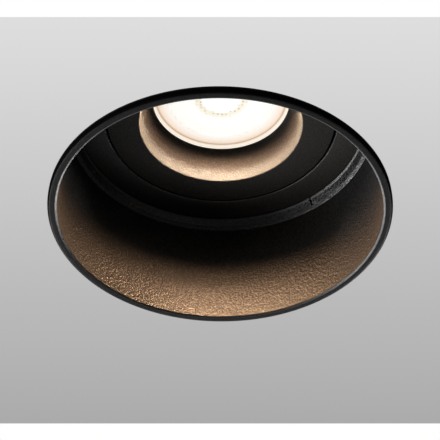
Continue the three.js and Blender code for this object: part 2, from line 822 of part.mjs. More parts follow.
// One clip with its bracket, screws, pin, arm, pad and spring
function clip(side, turn) {
  const screwLength = fitGap + bracketThickness + fitGap + ledgeThickness;
  const screws = [-clipScrewY, clipScrewY].map((y, i) => piece(
    `clip_screw_${side}_${i + 1}`,
    screw(clipScrewRadius, screwLength, clipHeadRadius, clipHeadHeight),
    "zincSteel",
    [clipScrewX, y, bracketTopZ + fitGap],
  ));
  const group = new THREE.Group();
  group.add(
    piece(`clip_bracket_${side}`, clipBracket(), "zincSteel"),
    ...screws,
    piece(`clip_pin_${side}`, clipPin(), "zincSteel"),
    piece(`clip_arm_${side}`, clipArm(), "zincSteel"),
    piece(`clip_pad_${side}`, clipPad(), "silicone"),
    piece(`clip_spring_${side}`, clipSpring(), "springSteel"),
  );
  group.position.set(clipPinX, 0, clipPinZ);
  const turnedGroup = new THREE.Group();
  turnedGroup.rotation.z = turn;
  turnedGroup.add(group);
  return turnedGroup;
}

// Wire ring in the collar's groove, with its two ends turned in and up for the fingers
function lampSnapRing() {
  const half = ringGap / 2;
  const bend = half - ringTailInset / ringRadius;
  const round = arc(0, 0, ringRadius, ringRadius, QUARTER + half, QUARTER + FULL - half, HOLDER_STEPS)
    .map(([x, y]) => new THREE.Vector3(x, y, ringZ));
  const tailRadius = ringRadius - ringTailInset;
  const tail = (angle, rise) => new THREE.Vector3(
    tailRadius * Math.cos(angle), tailRadius * Math.sin(angle), ringZ + rise);
  const first = [tail(QUARTER + bend, ringTailRise), tail(QUARTER + bend, ringTailRise / 3)];
  const last = [tail(QUARTER - bend, ringTailRise / 3), tail(QUARTER - bend, ringTailRise)];
  return wire([...first, ...round, ...last], ringWire, HEX_SIDES, LAMP_STEPS);
}

// Radius of the lamp's taper at a height
function taperRadius(z) {
  const share = (z - lampRimTopZ) / lampTaperHeight;
  return lampWaistRadius + (lampNeckRadius - lampWaistRadius) * share;
}

// Lamp housing: bezel, heat plate, hollow taper with cooling slots, and neck
function lampHousing() {
  const lensBore = lensRadius + fitGap;
  const roomInset = finSlotDepth + lampRoomWall;
  const neckBore = lampNeckRadius - lampNeckWall;
  const outline = [
    [0, heatPlateZ],
    [lensBore - lensLedge, heatPlateZ],
    [lensBore - lensLedge, lensSeatZ],
    [lensBore, lensSeatZ],
    [lensBore, lampFrontZ],
    [lampRadius, lampFrontZ],
    [lampRadius, lampRimTopZ],
    [lampWaistRadius, lampRimTopZ],
    [lampNeckRadius, lampTaperTopZ],
    [lampNeckRadius, lampBackZ],
    [neckBore, lampBackZ],
    [neckBore, lampTaperTopZ],
    [taperRadius(lampTaperTopZ) - roomInset, lampTaperTopZ],
    [taperRadius(roomFloorZ) - roomInset, roomFloorZ],
    [0, roomFloorZ],
  ];
  const low = lampRimTopZ + lampTaperHeight * finStartShare;
  const high = lampRimTopZ + lampTaperHeight * finEndShare;
  const slot = sideways([
    [taperRadius(low) - finSlotDepth, low],
    [taperRadius(low) + overrun, low],
    [taperRadius(high) + overrun, high],
    [taperRadius(high) - finSlotDepth, high],
  ], -finSlotWidth / 2, finSlotWidth / 2);
  return shaped(turned(outline, LAMP_STEPS), [], around(slot, finCount, HALF / LAMP_STEPS));
}

// Moulded lens, with its pattern on the front
function lampLens() {
  const back = lensZ + lensThickness;
  const field = lensZ + lensRimStep + lensRingRise;
  const rings = [...lensRingRadii].flatMap((radius) => [
    [radius, field],
    [radius + lensRingWidth / 2, field - lensRingRise],
    [radius + lensRingWidth, field],
  ]);
  const outline = [
    [0, field - lensBossRise],
    [lensBossRadius - lensBossRise, field - lensBossRise],
    [lensBossRadius, field],
    ...rings,
    [lensRadius - lensRimWidth, field],
    [lensRadius - lensRimWidth, lensZ],
    [lensRadius, lensZ],
    [lensRadius, back],
    [0, back],
  ];
  const dot = turned([
    [0, field - lensDotRise],
    [lensDotRadius / 2, field - lensDotRise],
    [lensDotRadius, field],
    [lensDotRadius, back - lensRimStep],
    [0, back - lensRimStep],
  ], DOT_STEPS).translate(lensDotCircle, 0, 0);
  return shaped(turned(outline, LAMP_STEPS), around(dot, lensDotCount), []);
}

// Round board with its light sources on the front
function ledBoard() {
  const back = heatPlateZ - fitGap;
  const front = back - boardThickness;
  const half = ledSide / 2;
  const led = block([-half, -half, front - ledHeight], [half, half, front + partInset]);
  const ring = around(led.clone().translate(ledCircle, 0, 0), ledCount);
  return shaped(column(boardRadius, front, back, LAMP_STEPS), [led, ...ring], []);
}

// Upright driver board with a capacitor on one face and a choke on the other
function driverBoard() {
  const bottom = roomFloorZ + fitGap;
  const top = bottom + driverLength;
  const half = driverThickness / 2;
  const board = block([-driverWidth / 2, -half, bottom], [driverWidth / 2, half, top]);
  const partZ = bottom + driverPartGap;
  const capacitor = column(capacitorRadius, partZ, partZ + capacitorLength)
    .translate(0, half + capacitorRadius - partInset, 0);
  const choke = block(
    [-chokeSide / 2, -half - chokeSide, partZ],
    [chokeSide / 2, partInset - half, partZ + chokeLength],
  );
  return shaped(board, [capacitor, choke], []);
}

// Lamp base: a hollow plug in the neck, with flats and two holes for the pins
function lampBase() {
  const plug = lampNeckRadius - lampNeckWall - fitGap;
  const bore = plug - baseWall;
  const bottom = baseZ - basePlugDepth;
  const roof = baseTopZ - baseTopThickness;
  const outline = [
    [0, roof],
    [bore, roof],
    [bore, bottom],
    [plug, bottom],
    [plug, baseZ],
    [baseRadius, baseZ],
    [baseRadius, baseTopZ],
    [0, baseTopZ],
  ];
  const reach = baseRadius + overrun;
  const flat = block([-reach, baseFlatReach, baseZ], [reach, reach, baseTopZ + overrun]);
  const hole = column(pinShankRadius + fitGap, roof - overrun, baseTopZ + overrun)
    .translate(pinSpacing / 2, 0, 0);
  return shaped(turned(outline, LAMP_STEPS), [], [...around(flat, 2), ...around(hole, 2)]);
}

// Headed pin of the lamp, standing in the base
function lampPin() {
  return turned([
    [0, baseTopZ - pinRootDepth],
    [pinShankRadius, baseTopZ - pinRootDepth],
    [pinShankRadius, pinHeadZ],
    [pinHeadRadius, pinHeadZ],
    [pinHeadRadius, pinEndZ - pinNose],
    [pinHeadRadius - pinNose, pinEndZ],
    [0, pinEndZ],
  ], SMALL_STEPS);
}

// The lamp with the ring that keeps it in the collar
function lamp() {
  const group = new THREE.Group();
  const pins = ["a", "b"].map((name, i) => {
    const reach = (pinSpacing / 2) * (1 - 2 * i);
    return piece(`lamp_pin_${name}`, lampPin(), "brass", [reach, 0, 0]);
  });
  group.add(
    piece("lamp_housing", lampHousing(), "castAluminium"),
    piece("lamp_lens", lampLens(), "lens"),
    piece("led_board", ledBoard(), "boardWhite"),
    piece("lamp_driver_board", driverBoard(), "boardGreen"),
    piece("lamp_base", lampBase(), "whitePlastic"),
    ...pins,
    piece("lamp_snap_ring", lampSnapRing(), "springSteel"),
  );
  return group;
}

// A slot that follows the pin's circle from its home end to its entry, with round ends
function pinTrack(halfWidth, bottom, top) {
  const middle = pinSpacing / 2;
  const outer = arc(0, 0, middle + halfWidth, middle + halfWidth, -keyTurn, 0);
  const inner = arc(0, 0, middle - halfWidth, middle - halfWidth, 0, -keyTurn);
  const home = arc(middle, 0, halfWidth, halfWidth, 0, HALF).slice(1, -1);
  const away = arc(middle, 0, halfWidth, halfWidth, HALF, FULL).slice(1, -1)
    .map(([x, y]) => new THREE.Vector2(x, y).rotateAround(new THREE.Vector2(0, 0), -keyTurn))
    .map(({ x, y }) => [x, y]);
  return raised([...outer, ...home, ...inner, ...away], bottom, top);
}

// Ceramic body with two keyhole slots, their pockets, and counterbored rivet holes
function lampholderBody() {
  const outline = [
    [0, holderZ],
    [holderRadius - holderChamfer, holderZ],
    [holderRadius, holderZ + holderChamfer],
    [holderRadius, holderTopZ],
    [0, holderTopZ],
  ];
  const slot = pinTrack(pinShankRadius + slotPlay, holderZ - overrun, pocketZ + overrun);
  const pocket = pinTrack(pinHeadRadius + pocketPlay, pocketZ, holderTopZ + overrun);
  const entry = column(pinHeadRadius + entryPlay, holderZ - overrun, pocketZ + overrun)
    .translate(pinSpacing / 2, 0, 0)
    .rotateZ(-keyTurn);
  const rivetHole = column(rivetRadius + fitGap, holderZ - overrun, holderTopZ + overrun);
  const counterbore = column(rivetHeadRadius + fitGap, holderZ - overrun,
    holderZ + rivetHeadHeight + fitGap * 2);
  const cuts = [slot, pocket, entry].flatMap((cut) => around(cut, 2));
  for (const hole of [rivetHole, counterbore]) {
    cuts.push(...around(hole.translate(0, rivetReach, 0), 2));
  }
  return shaped(turned(outline, HOLDER_STEPS), [], cuts);
}

// Back cover of the lampholder, with holes for the two leads and the rivets
function lampholderCover() {
  const outline = [
    [0, coverZ],
    [holderRadius, coverZ],
    [holderRadius, coverTopZ - holderChamfer],
    [holderRadius - holderChamfer, coverTopZ],
    [0, coverTopZ],
  ];
  const drill = (radius) => column(radius, coverZ - overrun, coverTopZ + overrun);
  const leads = around(drill(leadHoleRadius).translate(leadHoleReach, 0, 0), 2, leadHoleTurn);
  const rivets = around(drill(rivetRadius + fitGap).translate(0, rivetReach, 0), 2);
  return shaped(turned(outline, HOLDER_STEPS), [], [...leads, ...rivets]);
}

// Contact of one pin: a leaf over the pin's end and a tail that stands up behind it
function lampholderContact() {
  const half = contactWidth / 2;
  const top = contactZ + contactSheet;
  const leaf = block([-contactInset, -half, contactZ], [contactReach, half, top]);
  const tail = block([contactReach - contactSheet, -half, contactZ], [contactReach, half, top + contactTail]);
  return shaped(leaf, [tail], []);
}

// Tubular rivet through body and cover, with a head at each end
function lampholderRivet() {
  const bottom = holderZ + fitGap;
  const seat = bottom + rivetHeadHeight;
  const top = coverTopZ + fitGap;
  return turned([
    [0, bottom],
    [rivetHeadRadius, bottom],
    [rivetHeadRadius, seat],
    [rivetRadius, seat],
    [rivetRadius, top],
    [rivetHeadRadius, top],
    [rivetHeadRadius, top + rivetHeadHeight],
    [0, top + rivetHeadHeight],
  ], SMALL_STEPS);
}

// The lampholder, which twists off the lamp's pins
function lampholder() {
  const group = new THREE.Group();
  group.add(
    piece("lampholder_body", lampholderBody(), "ceramic"),
    piece("lampholder_cover", lampholderCover(), "ceramic"),
  );
  ["a", "b"].forEach((name, i) => {
    const side = new THREE.Group();
    side.rotation.z = HALF * i;
    side.add(
      piece(`lampholder_contact_${name}`, lampholderContact(), "brass", [pinSpacing / 2, 0, 0]),
      piece(`lampholder_rivet_${name}`, lampholderRivet(), "brass", [0, rivetReach, 0]),
    );
    group.add(side);
  });
  return group;
}

// Earth terminal: a screw into the ledge, and the washer that clamps the lead
function earthTerminal() {
  const washerZ = ledgeTopZ + fitGap;
  const headZ = washerZ + earthWasherThickness + fitGap;
  const group = new THREE.Group();
  group.rotation.z = earthTurn;
  group.add(
    piece("earth_washer", washer(earthHoleRadius, earthWasherRadius, 0, earthWasherThickness),
      "brass", [ledgeMiddle, 0, washerZ]),
    piece("earth_screw", screw(earthScrewRadius, headZ - ledgeZ, earthHeadRadius, earthHeadHeight),
      "brass", [ledgeMiddle, 0, headZ]),
  );
  return group;
}

const downlight = new THREE.Group();
downlight.add(
  piece("trim_ring", trimRing(), "blackCoat"),
  piece("ceiling_gasket", ceilingGasket(), "foam"),
  piece("carrier_snap_ring", carrierSnapRing(), "blackSteel"),
  piece("carrier_ring", carrierRing(), "blackCoat"),
  piece("gimbal_ring", gimbalRing(), "blackCoat"),
  pivot("right", 0),
  pivot("left", HALF),
  lamp(),
  lampholder(),
  clip("right", 0),
  clip("left", HALF),
  earthTerminal(),
);

console.log(`Least gap of a clip spring to itself: ${leastGap(springLine(), springWire).toFixed(2)} mm`);

export default downlight;
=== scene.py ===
# Recessed soffit downlight, seen from below: the looks of each piece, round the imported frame.
# Sizes are in millimetres and become metres where a mesh is made. +Z points up into the soffit.
import math

import bmesh
import bpy
from mathutils import Matrix, Vector


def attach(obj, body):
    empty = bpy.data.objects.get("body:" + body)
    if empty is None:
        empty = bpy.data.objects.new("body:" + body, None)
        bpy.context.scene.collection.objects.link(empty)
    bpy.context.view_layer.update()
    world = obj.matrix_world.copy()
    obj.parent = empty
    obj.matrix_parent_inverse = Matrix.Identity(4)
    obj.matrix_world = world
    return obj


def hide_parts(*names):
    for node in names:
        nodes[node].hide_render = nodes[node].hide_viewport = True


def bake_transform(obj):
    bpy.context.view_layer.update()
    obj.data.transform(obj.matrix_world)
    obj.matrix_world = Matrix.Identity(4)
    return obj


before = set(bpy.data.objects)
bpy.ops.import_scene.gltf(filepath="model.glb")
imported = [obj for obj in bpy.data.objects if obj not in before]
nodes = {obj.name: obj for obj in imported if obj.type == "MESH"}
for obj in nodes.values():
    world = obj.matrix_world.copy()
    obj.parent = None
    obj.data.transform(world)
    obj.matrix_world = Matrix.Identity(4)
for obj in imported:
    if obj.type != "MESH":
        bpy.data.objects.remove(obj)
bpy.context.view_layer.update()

# ----------------------------------------
# Trim: one die casting with a thin lip, the deep baffle wall and the ledge at its top. The lip is
# chamfered towards the mouth, and a bead under the split ring catches the light as a thin line.
# It is turned from its outline, drilled for the screws, and coated with textured black powder.

MM = 0.001
FULL = math.tau
FAR = math.inf
RING_STEPS = 256
ROUND_STEPS = 6
SMOOTH_ANGLE = math.radians(32)

in_scene = bpy.context.scene.collection.objects.link


def mesh_of(bm, name="part"):
    """Turns a bmesh into a mesh and frees it."""
    mesh = bpy.data.meshes.new(name)
    bm.to_mesh(mesh)
    bm.free()
    return mesh


def placed(name, bm, material, body, *stands_for, slot=None):
    """Turns a finished bmesh into a piece, which may ride on a body and stand for CAD nodes."""
    bmesh.ops.remove_doubles(bm, verts=bm.verts, dist=1e-7)
    bmesh.ops.dissolve_degenerate(bm, edges=bm.edges, dist=1e-8)
    bmesh.ops.recalc_face_normals(bm, faces=bm.faces)
    mesh = mesh_of(bm, name)
    mesh.polygons.foreach_set("use_smooth", [True] * len(mesh.polygons))
    mesh.set_sharp_from_angle(angle=SMOOTH_ANGLE)
    mesh.materials.append(material)
    piece = bpy.data.objects.new(name, mesh)
    in_scene(piece)
    if body:
        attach(piece, body)
    if stands_for:
        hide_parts(*stands_for)
    return piece


def outline_of(corners):
    """A flat closed outline in the XZ plane, its corners rounded where a third number says so."""
    bm = bmesh.new()
    points = [bm.verts.new((x * MM, 0, z * MM)) for x, z, *_ in corners]
    bm.faces.new(points)
    for point, corner in zip(points, corners):
        if len(corner) > 2:
            bmesh.ops.bevel(
                bm, geom=[point], offset=corner[2] * MM, offset_type="OFFSET", segments=ROUND_STEPS,
                profile=0.5, affect="VERTICES", material=-1,
            )
    return bm


def turned(corners, steps=RING_STEPS, sweep=FULL):
    """Turns an outline about the Z axis, all the way round or by a part of it."""
    bm = outline_of(corners)
    whole = sweep == FULL
    if whole:
        bmesh.ops.delete(bm, geom=bm.faces[:], context="FACES_ONLY")
        on_axis = [edge for edge in bm.edges if all(abs(v.co.x) < 1e-9 for v in edge.verts)]
        bmesh.ops.delete(bm, geom=on_axis, context="EDGES")
    bmesh.ops.spin(
        bm, geom=bm.verts[:] + bm.edges[:] + bm.faces[:], cent=(0, 0, 0), axis=(0, 0, 1),
        angle=sweep, steps=steps, use_merge=whole,
    )
    bmesh.ops.remove_doubles(bm, verts=bm.verts, dist=1e-7)
    bmesh.ops.recalc_face_normals(bm, faces=bm.faces)
    return bm


def moved(bm, place=(0, 0, 0), turn=0, axis="Z"):
    """Turns a bmesh about an axis through the origin and moves it, in millimetres."""
    matrix = Matrix.Translation(Vector(place) * MM) @ Matrix.Rotation(turn, 4, axis)
    bmesh.ops.transform(bm, matrix=matrix, verts=bm.verts)
    return bm


def block(low, high):
    """A box between two corners."""
    bm = bmesh.new()
    size = [b - a for a, b in zip(low, high)]
    middle = [(a + b) / 2 for a, b in zip(low, high)]
    matrix = Matrix.Translation(Vector(middle) * MM) @ Matrix.Diagonal((*[s * MM for s in size], 1))
    bmesh.ops.create_cube(bm, size=1, matrix=matrix)
    return bm


def column(radius, bottom, top, steps=48):
    """A plain cylinder on the Z axis."""
    bm = bmesh.new()
    matrix = Matrix.Translation((0, 0, (bottom + top) / 2 * MM))
    bmesh.ops.create_cone(
        bm, cap_ends=True, segments=steps, radius1=radius * MM, radius2=radius * MM,
        depth=(top - bottom) * MM, matrix=matrix,
    )
    return bm


def copied(bm, count, start=0, sweep=FULL):
    """Copies of a bmesh turned evenly about the Z axis, all in one bmesh."""
    mesh = mesh_of(bm)
    whole = bmesh.new()
    for i in range(count):
        before = set(whole.verts)
        whole.from_mesh(mesh)
        fresh = [v for v in whole.verts if v not in before]
        turn = Matrix.Rotation(start + sweep * i / count, 4, "Z")
        bmesh.ops.transform(whole, matrix=turn, verts=fresh)
    bpy.data.meshes.remove(mesh)
    return whole


def together(*parts):
    """Several bmeshes in one, without joining their faces."""
    whole = bmesh.new()
    for part in parts:
        mesh = mesh_of(part)
        whole.from_mesh(mesh)
        bpy.data.meshes.remove(mesh)
    return whole


def combined(base, tool, operation):
    """Joins or cuts one closed bmesh with another."""
    objects = []
    for bm in (base, tool):
        bmesh.ops.recalc_face_normals(bm, faces=bm.faces)
        operand = bpy.data.objects.new("operand", mesh_of(bm))
        in_scene(operand)
        objects.append(operand)
    step = objects[0].modifiers.new("combine", "BOOLEAN")
    step.operation = operation
    step.solver = "EXACT"
    step.object = objects[1]
    bpy.context.view_layer.update()
    result = objects[0].evaluated_get(bpy.context.evaluated_depsgraph_get()).to_mesh()
    bm = bmesh.new()
    bm.from_mesh(result)
    for operand in objects:
        mesh = operand.data
        bpy.data.objects.remove(operand)
        bpy.data.meshes.remove(mesh)
    return bm


def told(node, **values):
    """Sets a node's own inputs. A socket's name has an underscore for each space in it."""
    for label, value in values.items():
        node.inputs[label.replace("_", " ")].default_value = value
    return node


def reckoned(tree, operation, *values):
    """The result of a math node. Each of its inputs is a number or another node's output."""
    node = tree.nodes.new("ShaderNodeMath")
    node.operation = operation
    for socket, value in zip(node.inputs, values):
        if isinstance(value, (int, float)):
            socket.default_value = value
        else:
            tree.links.new(value, socket)
    return node.outputs[0]


def ranged(tree, value, start, end, low=0.0, high=1.0):
    """A value brought from one range into another, and held inside it."""
    node = tree.nodes.new("ShaderNodeMapRange")
    told(node, From_Min=start, From_Max=end, To_Min=low, To_Max=high)
    tree.links.new(value, node.inputs["Value"])
    return node.outputs["Result"]


def mixed(tree, share, *colours):
    """Two colours mixed by a share. Each is a colour or another node's output."""
    node = tree.nodes.new("ShaderNodeMix")
    node.data_type = "RGBA"
    tree.links.new(share, node.inputs["Factor"])
    for label, colour in zip("AB", colours):
        if isinstance(colour, tuple):
            node.inputs[label].default_value = (*colour, 1)
        else:
            tree.links.new(colour, node.inputs[label])
    return node.outputs["Result"]


def new_material(name):
    """A material with its node tree, its shader and the ways to add and link nodes."""
    material = bpy.data.materials.new(name)
    material.use_nodes = True
    tree = material.node_tree
    return material, tree, tree.nodes["Principled BSDF"], tree.nodes.new, tree.links.new


def grain_group():
    """Grain in a surface: rounded bumps of one size with a broader roll under them."""
    group = bpy.data.node_groups.new("grain", "ShaderNodeTree")
    for label, way, value in (("Grains per metre", "INPUT", 1500.0), ("Roll", "INPUT", 0.3),
                              ("Height", "OUTPUT", 0.0), ("Peaks", "OUTPUT", 0.0)):
        socket = group.interface.new_socket(label, in_out=way, socket_type="NodeSocketFloat")
        socket.default_value = value
    given, made = group.nodes.new("NodeGroupInput"), group.nodes.new("NodeGroupOutput")
    add, link = group.nodes.new, group.links.new
    places = add("ShaderNodeTexCoord")
    fine = told(add("ShaderNodeTexNoise"), Detail=2, Roughness=0.6)
    link(places.outputs["Object"], fine.inputs["Vector"])
    link(given.outputs["Grains per metre"], fine.inputs["Scale"])
    broad = told(add("ShaderNodeTexNoise"), Detail=1)
    link(places.outputs["Object"], broad.inputs["Vector"])
    slower = reckoned(group, "MULTIPLY", given.outputs["Grains per metre"], BROAD_SHARE)
    link(slower, broad.inputs["Scale"])
    height = reckoned(group, "MULTIPLY_ADD", broad.outputs["Fac"], given.outputs["Roll"],
                      fine.outputs["Fac"])
    link(height, made.inputs["Height"])
    link(ranged(group, fine.outputs["Fac"], *GRAIN_PEAKS), made.inputs["Peaks"])
    return group


BROAD_SHARE = 0.22
GRAIN_PEAKS = (0.42, 0.68)
GRAIN = grain_group()


def finish_of(name, colour, roughness, metallic=0.0, grains=1500, depth=0.02, spread=0.08,
              pale=1.25, specular=0.5):
    """A painted, cast, moulded or plated finish, whose colour and gloss vary with its grain."""
    material, tree, shader, add, link = new_material(name)
    told(shader, Metallic=metallic, Specular_IOR_Level=specular)
    grain = add("ShaderNodeGroup")
    grain.node_tree = GRAIN
    grain.inputs["Grains per metre"].default_value = grains
    peaks = grain.outputs["Peaks"]
    paler = tuple(min(1.0, value * pale) for value in colour)
    link(mixed(tree, peaks, colour, paler), shader.inputs["Base Color"])
    gloss = ranged(tree, peaks, 0.0, 1.0, roughness + spread, roughness - spread)
    link(gloss, shader.inputs["Roughness"])
    bump = told(add("ShaderNodeBump"), Strength=1, Distance=depth * MM)
    link(grain.outputs["Height"], bump.inputs["Height"])
    link(bump.outputs["Normal"], shader.inputs["Normal"])
    return material


black_coat = finish_of("black_coat", (0.0036, 0.0033, 0.0031), 0.42, grains=1500, depth=0.28,
                       pale=11.0, specular=0.6)
edge_coat = finish_of("edge_coat", (0.014, 0.0135, 0.013), 0.34, grains=1400, depth=0.08, pale=2.0,
                      specular=0.9)
# A darker, duller copy of the black coat for the lip's flat face: painted shade.
lip_shade_coat = finish_of("lip_shade_coat", (0.004, 0.0039, 0.0038), 0.46, grains=1650, depth=0.1, pale=3.0,
                     specular=0.16)
# The carrier and gimbal have the trim's black powder; this copy is painted paler as painted light,
# the light their plates catch through the mouth.
lit_inner_coat = finish_of("lit_inner_coat", (0.022, 0.020, 0.018), 0.47, grains=1800, depth=0.12, pale=2.0)
black_steel = finish_of("black_steel", (0.008, 0.0077, 0.0075), 0.31, grains=1250, depth=0.15,
                        pale=2.4, specular=1.0)
# A flat near-black without gloss: painted shade on the lip's outer flank and in the slit between
# the carrier and the gimbal.
shade_black = finish_of("shade_black", (0.006, 0.006, 0.006), 0.9, depth=0.01, specular=0.0)


def repainted(piece, material, inner, outer, low, high):
    """Gives another finish to the faces whose middles lie between two radii and two heights."""
    piece.data.materials.append(material)
    for face in piece.data.polygons:
        x, y, z = face.center / MM
        if inner < math.hypot(x, y) < outer and low < z < high:
            face.material_index = len(piece.data.materials) - 1


LIP_FRONT = -2.45
LIP_BACK = -0.8
LIP_RADIUS = 52.75
LIP_FLANK = 52.15
LIP_CORNER = 50.5
MOUTH_CORNER = (49.85, -2.03)
BORE_RADIUS = 49.6
GROOVE_RADIUS = 50.1
GROOVE_BOTTOM = 36.2
GROOVE_TOP = 38.85
LEDGE_BOTTOM = 40.925
LEDGE_TOP = 43.125
LEDGE_RADIUS = 43.5
WALL_FOOT = 51.3
WALL_TOP = 51.2
LEDGE_MIDDLE = (LEDGE_RADIUS + WALL_TOP) / 2
CLIP_SCREW_REACH = 10.15
CLIP_SCREW_HOLE = 1.4
EARTH_HOLE = 2
TONGUE = (2, 1.7, 1.2)
SEAT_BEAD = (48.35, 35.65)

trim = turned([
    (LIP_CORNER, LIP_FRONT, 0.12),
    (LIP_RADIUS, LIP_FRONT, 1.0),
    (LIP_RADIUS, LIP_BACK, 0.12),
    (WALL_FOOT, LIP_BACK),
    (WALL_TOP, LEDGE_TOP, 0.5),
    (LEDGE_RADIUS, LEDGE_TOP, 0.3),
    (LEDGE_RADIUS, LEDGE_BOTTOM, 0.3),
    (BORE_RADIUS, LEDGE_BOTTOM),
    (BORE_RADIUS, GROOVE_TOP, 0.1),
    (GROOVE_RADIUS, GROOVE_TOP),
    (GROOVE_RADIUS, GROOVE_BOTTOM),
    (SEAT_BEAD[0], GROOVE_BOTTOM, 0.08),
    (BORE_RADIUS, SEAT_BEAD[1], 0.25),
    (*MOUTH_CORNER, 0.1),
])
tongue = block(
    (-TONGUE[0], LEDGE_RADIUS - TONGUE[1], LEDGE_BOTTOM),
    (TONGUE[0], LEDGE_MIDDLE, LEDGE_BOTTOM + TONGUE[2]),
)
trim = combined(trim, tongue, "UNION")
drills = [moved(column(EARTH_HOLE, LEDGE_BOTTOM - 2, LEDGE_TOP + 2), (0, -LEDGE_MIDDLE, 0))]
for side in (-1, 1):
    for reach in (-CLIP_SCREW_REACH, CLIP_SCREW_REACH):
        hole = column(CLIP_SCREW_HOLE, LEDGE_BOTTOM - 2, LEDGE_TOP + 2)
        drills.append(moved(hole, (side * LEDGE_MIDDLE, reach, 0)))
trim = combined(trim, together(*drills), "DIFFERENCE")
trim = placed("trim_casting", trim, black_coat, "trim", "trim_ring", slot="black_coat")
# The lip's flat face and its outer flank are painted darker as painted shade; the mouth's chamfer
# is glossier, and the bead has the blackened steel's gloss.
for material, inner, outer, low, high in (
    (lip_shade_coat, LIP_CORNER, FAR, -FAR, LIP_BACK),
    (shade_black, LIP_FLANK, FAR, -FAR, LIP_BACK),
    (edge_coat, 0, LIP_CORNER, -FAR, MOUTH_CORNER[1] + 0.01),
    (black_steel, SEAT_BEAD[0], BORE_RADIUS, SEAT_BEAD[1], GROOVE_BOTTOM - 0.01),
):
    repainted(trim, material, inner, outer, low, high)

# ----------------------------------------
# Seal: a flat ring of closed-cell foam stuck to the back of the lip, pressed against the board.

GASKET_BORE = 51.425
black_foam = finish_of("black_foam", (0.012, 0.012, 0.012), 0.9, grains=2600, depth=0.08,
                       specular=0.2)
gasket = turned([
    (GASKET_BORE, LIP_BACK),
    (LIP_RADIUS - 0.05, LIP_BACK),
    (LIP_RADIUS - 0.05, 0, 0.15),
    (GASKET_BORE, 0, 0.15),
])
seal = placed("seal", gasket, black_foam, "trim", "ceiling_gasket", slot="foam")

# ----------------------------------------
# Split ring: blackened spring steel with a sloped face, sprung into the groove at the top of the
# baffle. It holds the carrier up. Its gap shows a little to the right of the far side, and the
# facet at its inner edge shines as a thin line.

SNAP_BOTTOM = 36.325
SNAP_TOP = 38.725
SNAP_INNER = 46.6
SNAP_FOOT = 48.3
SNAP_GAP = 0.6
SNAP_TURN = math.radians(49)
SNAP_FACET = (47.2, 38.005, 38.325)

snap_span = FULL - SNAP_GAP / SNAP_INNER
snap_ring = turned([
    (SNAP_FOOT, SNAP_BOTTOM, 0.05),
    (GROOVE_RADIUS - 0.25, SNAP_BOTTOM, 0.05),
    (GROOVE_RADIUS - 0.25, SNAP_TOP, 0.08),
    (SNAP_INNER, SNAP_TOP, 0.05),
    (SNAP_INNER, SNAP_FACET[2], 0.08),
    (SNAP_FACET[0], SNAP_FACET[1], 0.08),
], sweep=snap_span)
moved(snap_ring, turn=SNAP_TURN + (FULL - snap_span) / 2)
split_ring = placed("split_ring", snap_ring, black_steel, "trim", "carrier_snap_ring",
                    slot="black_steel")
repainted(split_ring, edge_coat, SNAP_INNER, SNAP_FACET[0], SNAP_FACET[1], SNAP_FACET[2] + 0.05)

# ----------------------------------------
# Carrier: a flat cast ring that turns inside the trim, with two ears for the gimbal's pivots and
# a small stud that meets the trim's tongue at the end of its turn. The inside of its opening is
# painted near-black and matt: painted shade for the slit round the gimbal.

CARRIER_BOTTOM = 39.025
CARRIER_TOP = 40.625
CARRIER_RADIUS = 49.2
CARRIER_OPENING = 38.1
CARRIER_EDGE = 39.225
CARRIER_ROUNDING = 0.32
SLIT_DEPTH = 0.2
PIVOT_HEIGHT = 45.125
PIVOT_HOLE = 1.65
EAR_WIDTH = 9
EAR_CROWN = 4.2
CARRIER_EAR = (39.3, 40.8)
STUD = (1, 43.2, 1.1, 41.925)


def drawn_out(bm, way):
    """Draws a flat outline out into a block, by a way in millimetres."""
    drawn = bmesh.ops.extrude_face_region(bm, geom=bm.faces[:])
    fresh = [v for v in drawn["geom"] if isinstance(v, bmesh.types.BMVert)]
    bmesh.ops.translate(bm, verts=fresh, vec=[value * MM for value in way])
    bmesh.ops.recalc_face_normals(bm, faces=bm.faces)
    return bm


def pulled(bm, low, high):
    """Draws a flat outline in the XZ plane along Y, from one place to another, into a block."""
    drawn_out(bm, (0, high - low, 0))
    bmesh.ops.translate(bm, verts=bm.verts, vec=(0, low * MM, 0))
    return bm


def ear(inner, outer, root):
    """An upright ear at +X with a rounded top and a hole across it."""
    bm = outline_of([
        (-EAR_WIDTH / 2, root),
        (EAR_WIDTH / 2, root),
        (EAR_WIDTH / 2, PIVOT_HEIGHT + EAR_CROWN, EAR_CROWN - 0.05),
        (-EAR_WIDTH / 2, PIVOT_HEIGHT + EAR_CROWN, EAR_CROWN - 0.05),
    ])
    moved(pulled(bm, 0, outer - inner), (inner, 0, 0), -math.pi / 2)
    drill = column(PIVOT_HOLE, -2, outer - inner + 2)
    moved(drill, (inner, 0, PIVOT_HEIGHT), math.pi / 2, "Y")
    return combined(bm, drill, "DIFFERENCE")


carrier = turned([
    (CARRIER_OPENING, CARRIER_BOTTOM, CARRIER_ROUNDING),
    (CARRIER_RADIUS, CARRIER_BOTTOM, 0.1),
    (CARRIER_RADIUS, CARRIER_TOP, 0.1),
    (CARRIER_OPENING, CARRIER_TOP, 0.15),
])
root = (CARRIER_BOTTOM + CARRIER_TOP) / 2
stud = block((-STUD[0], -STUD[1], root), (STUD[0], STUD[2] - STUD[1], STUD[3]))
upright = together(copied(ear(*CARRIER_EAR, root), 2), stud)
carrier = combined(carrier, upright, "UNION")
# The carrier's coat is painted paler as painted light.
carrier = placed("carrier", carrier, lit_inner_coat, "carrier", "carrier_ring", slot="black_coat")
repainted(carrier, edge_coat, 0, CARRIER_OPENING + CARRIER_ROUNDING, CARRIER_BOTTOM, CARRIER_EDGE)
# The opening's inner face is painted near-black as painted shade in the slit.
repainted(carrier, shade_black, 0, CARRIER_OPENING + SLIT_DEPTH, CARRIER_EDGE, CARRIER_TOP)

# ----------------------------------------
# Gimbal: one casting with a dished plate, the bowl in front of the lamp, the seat for its bezel,
# and a collar behind with ribs, cooling windows and the groove for the lamp's wire ring.

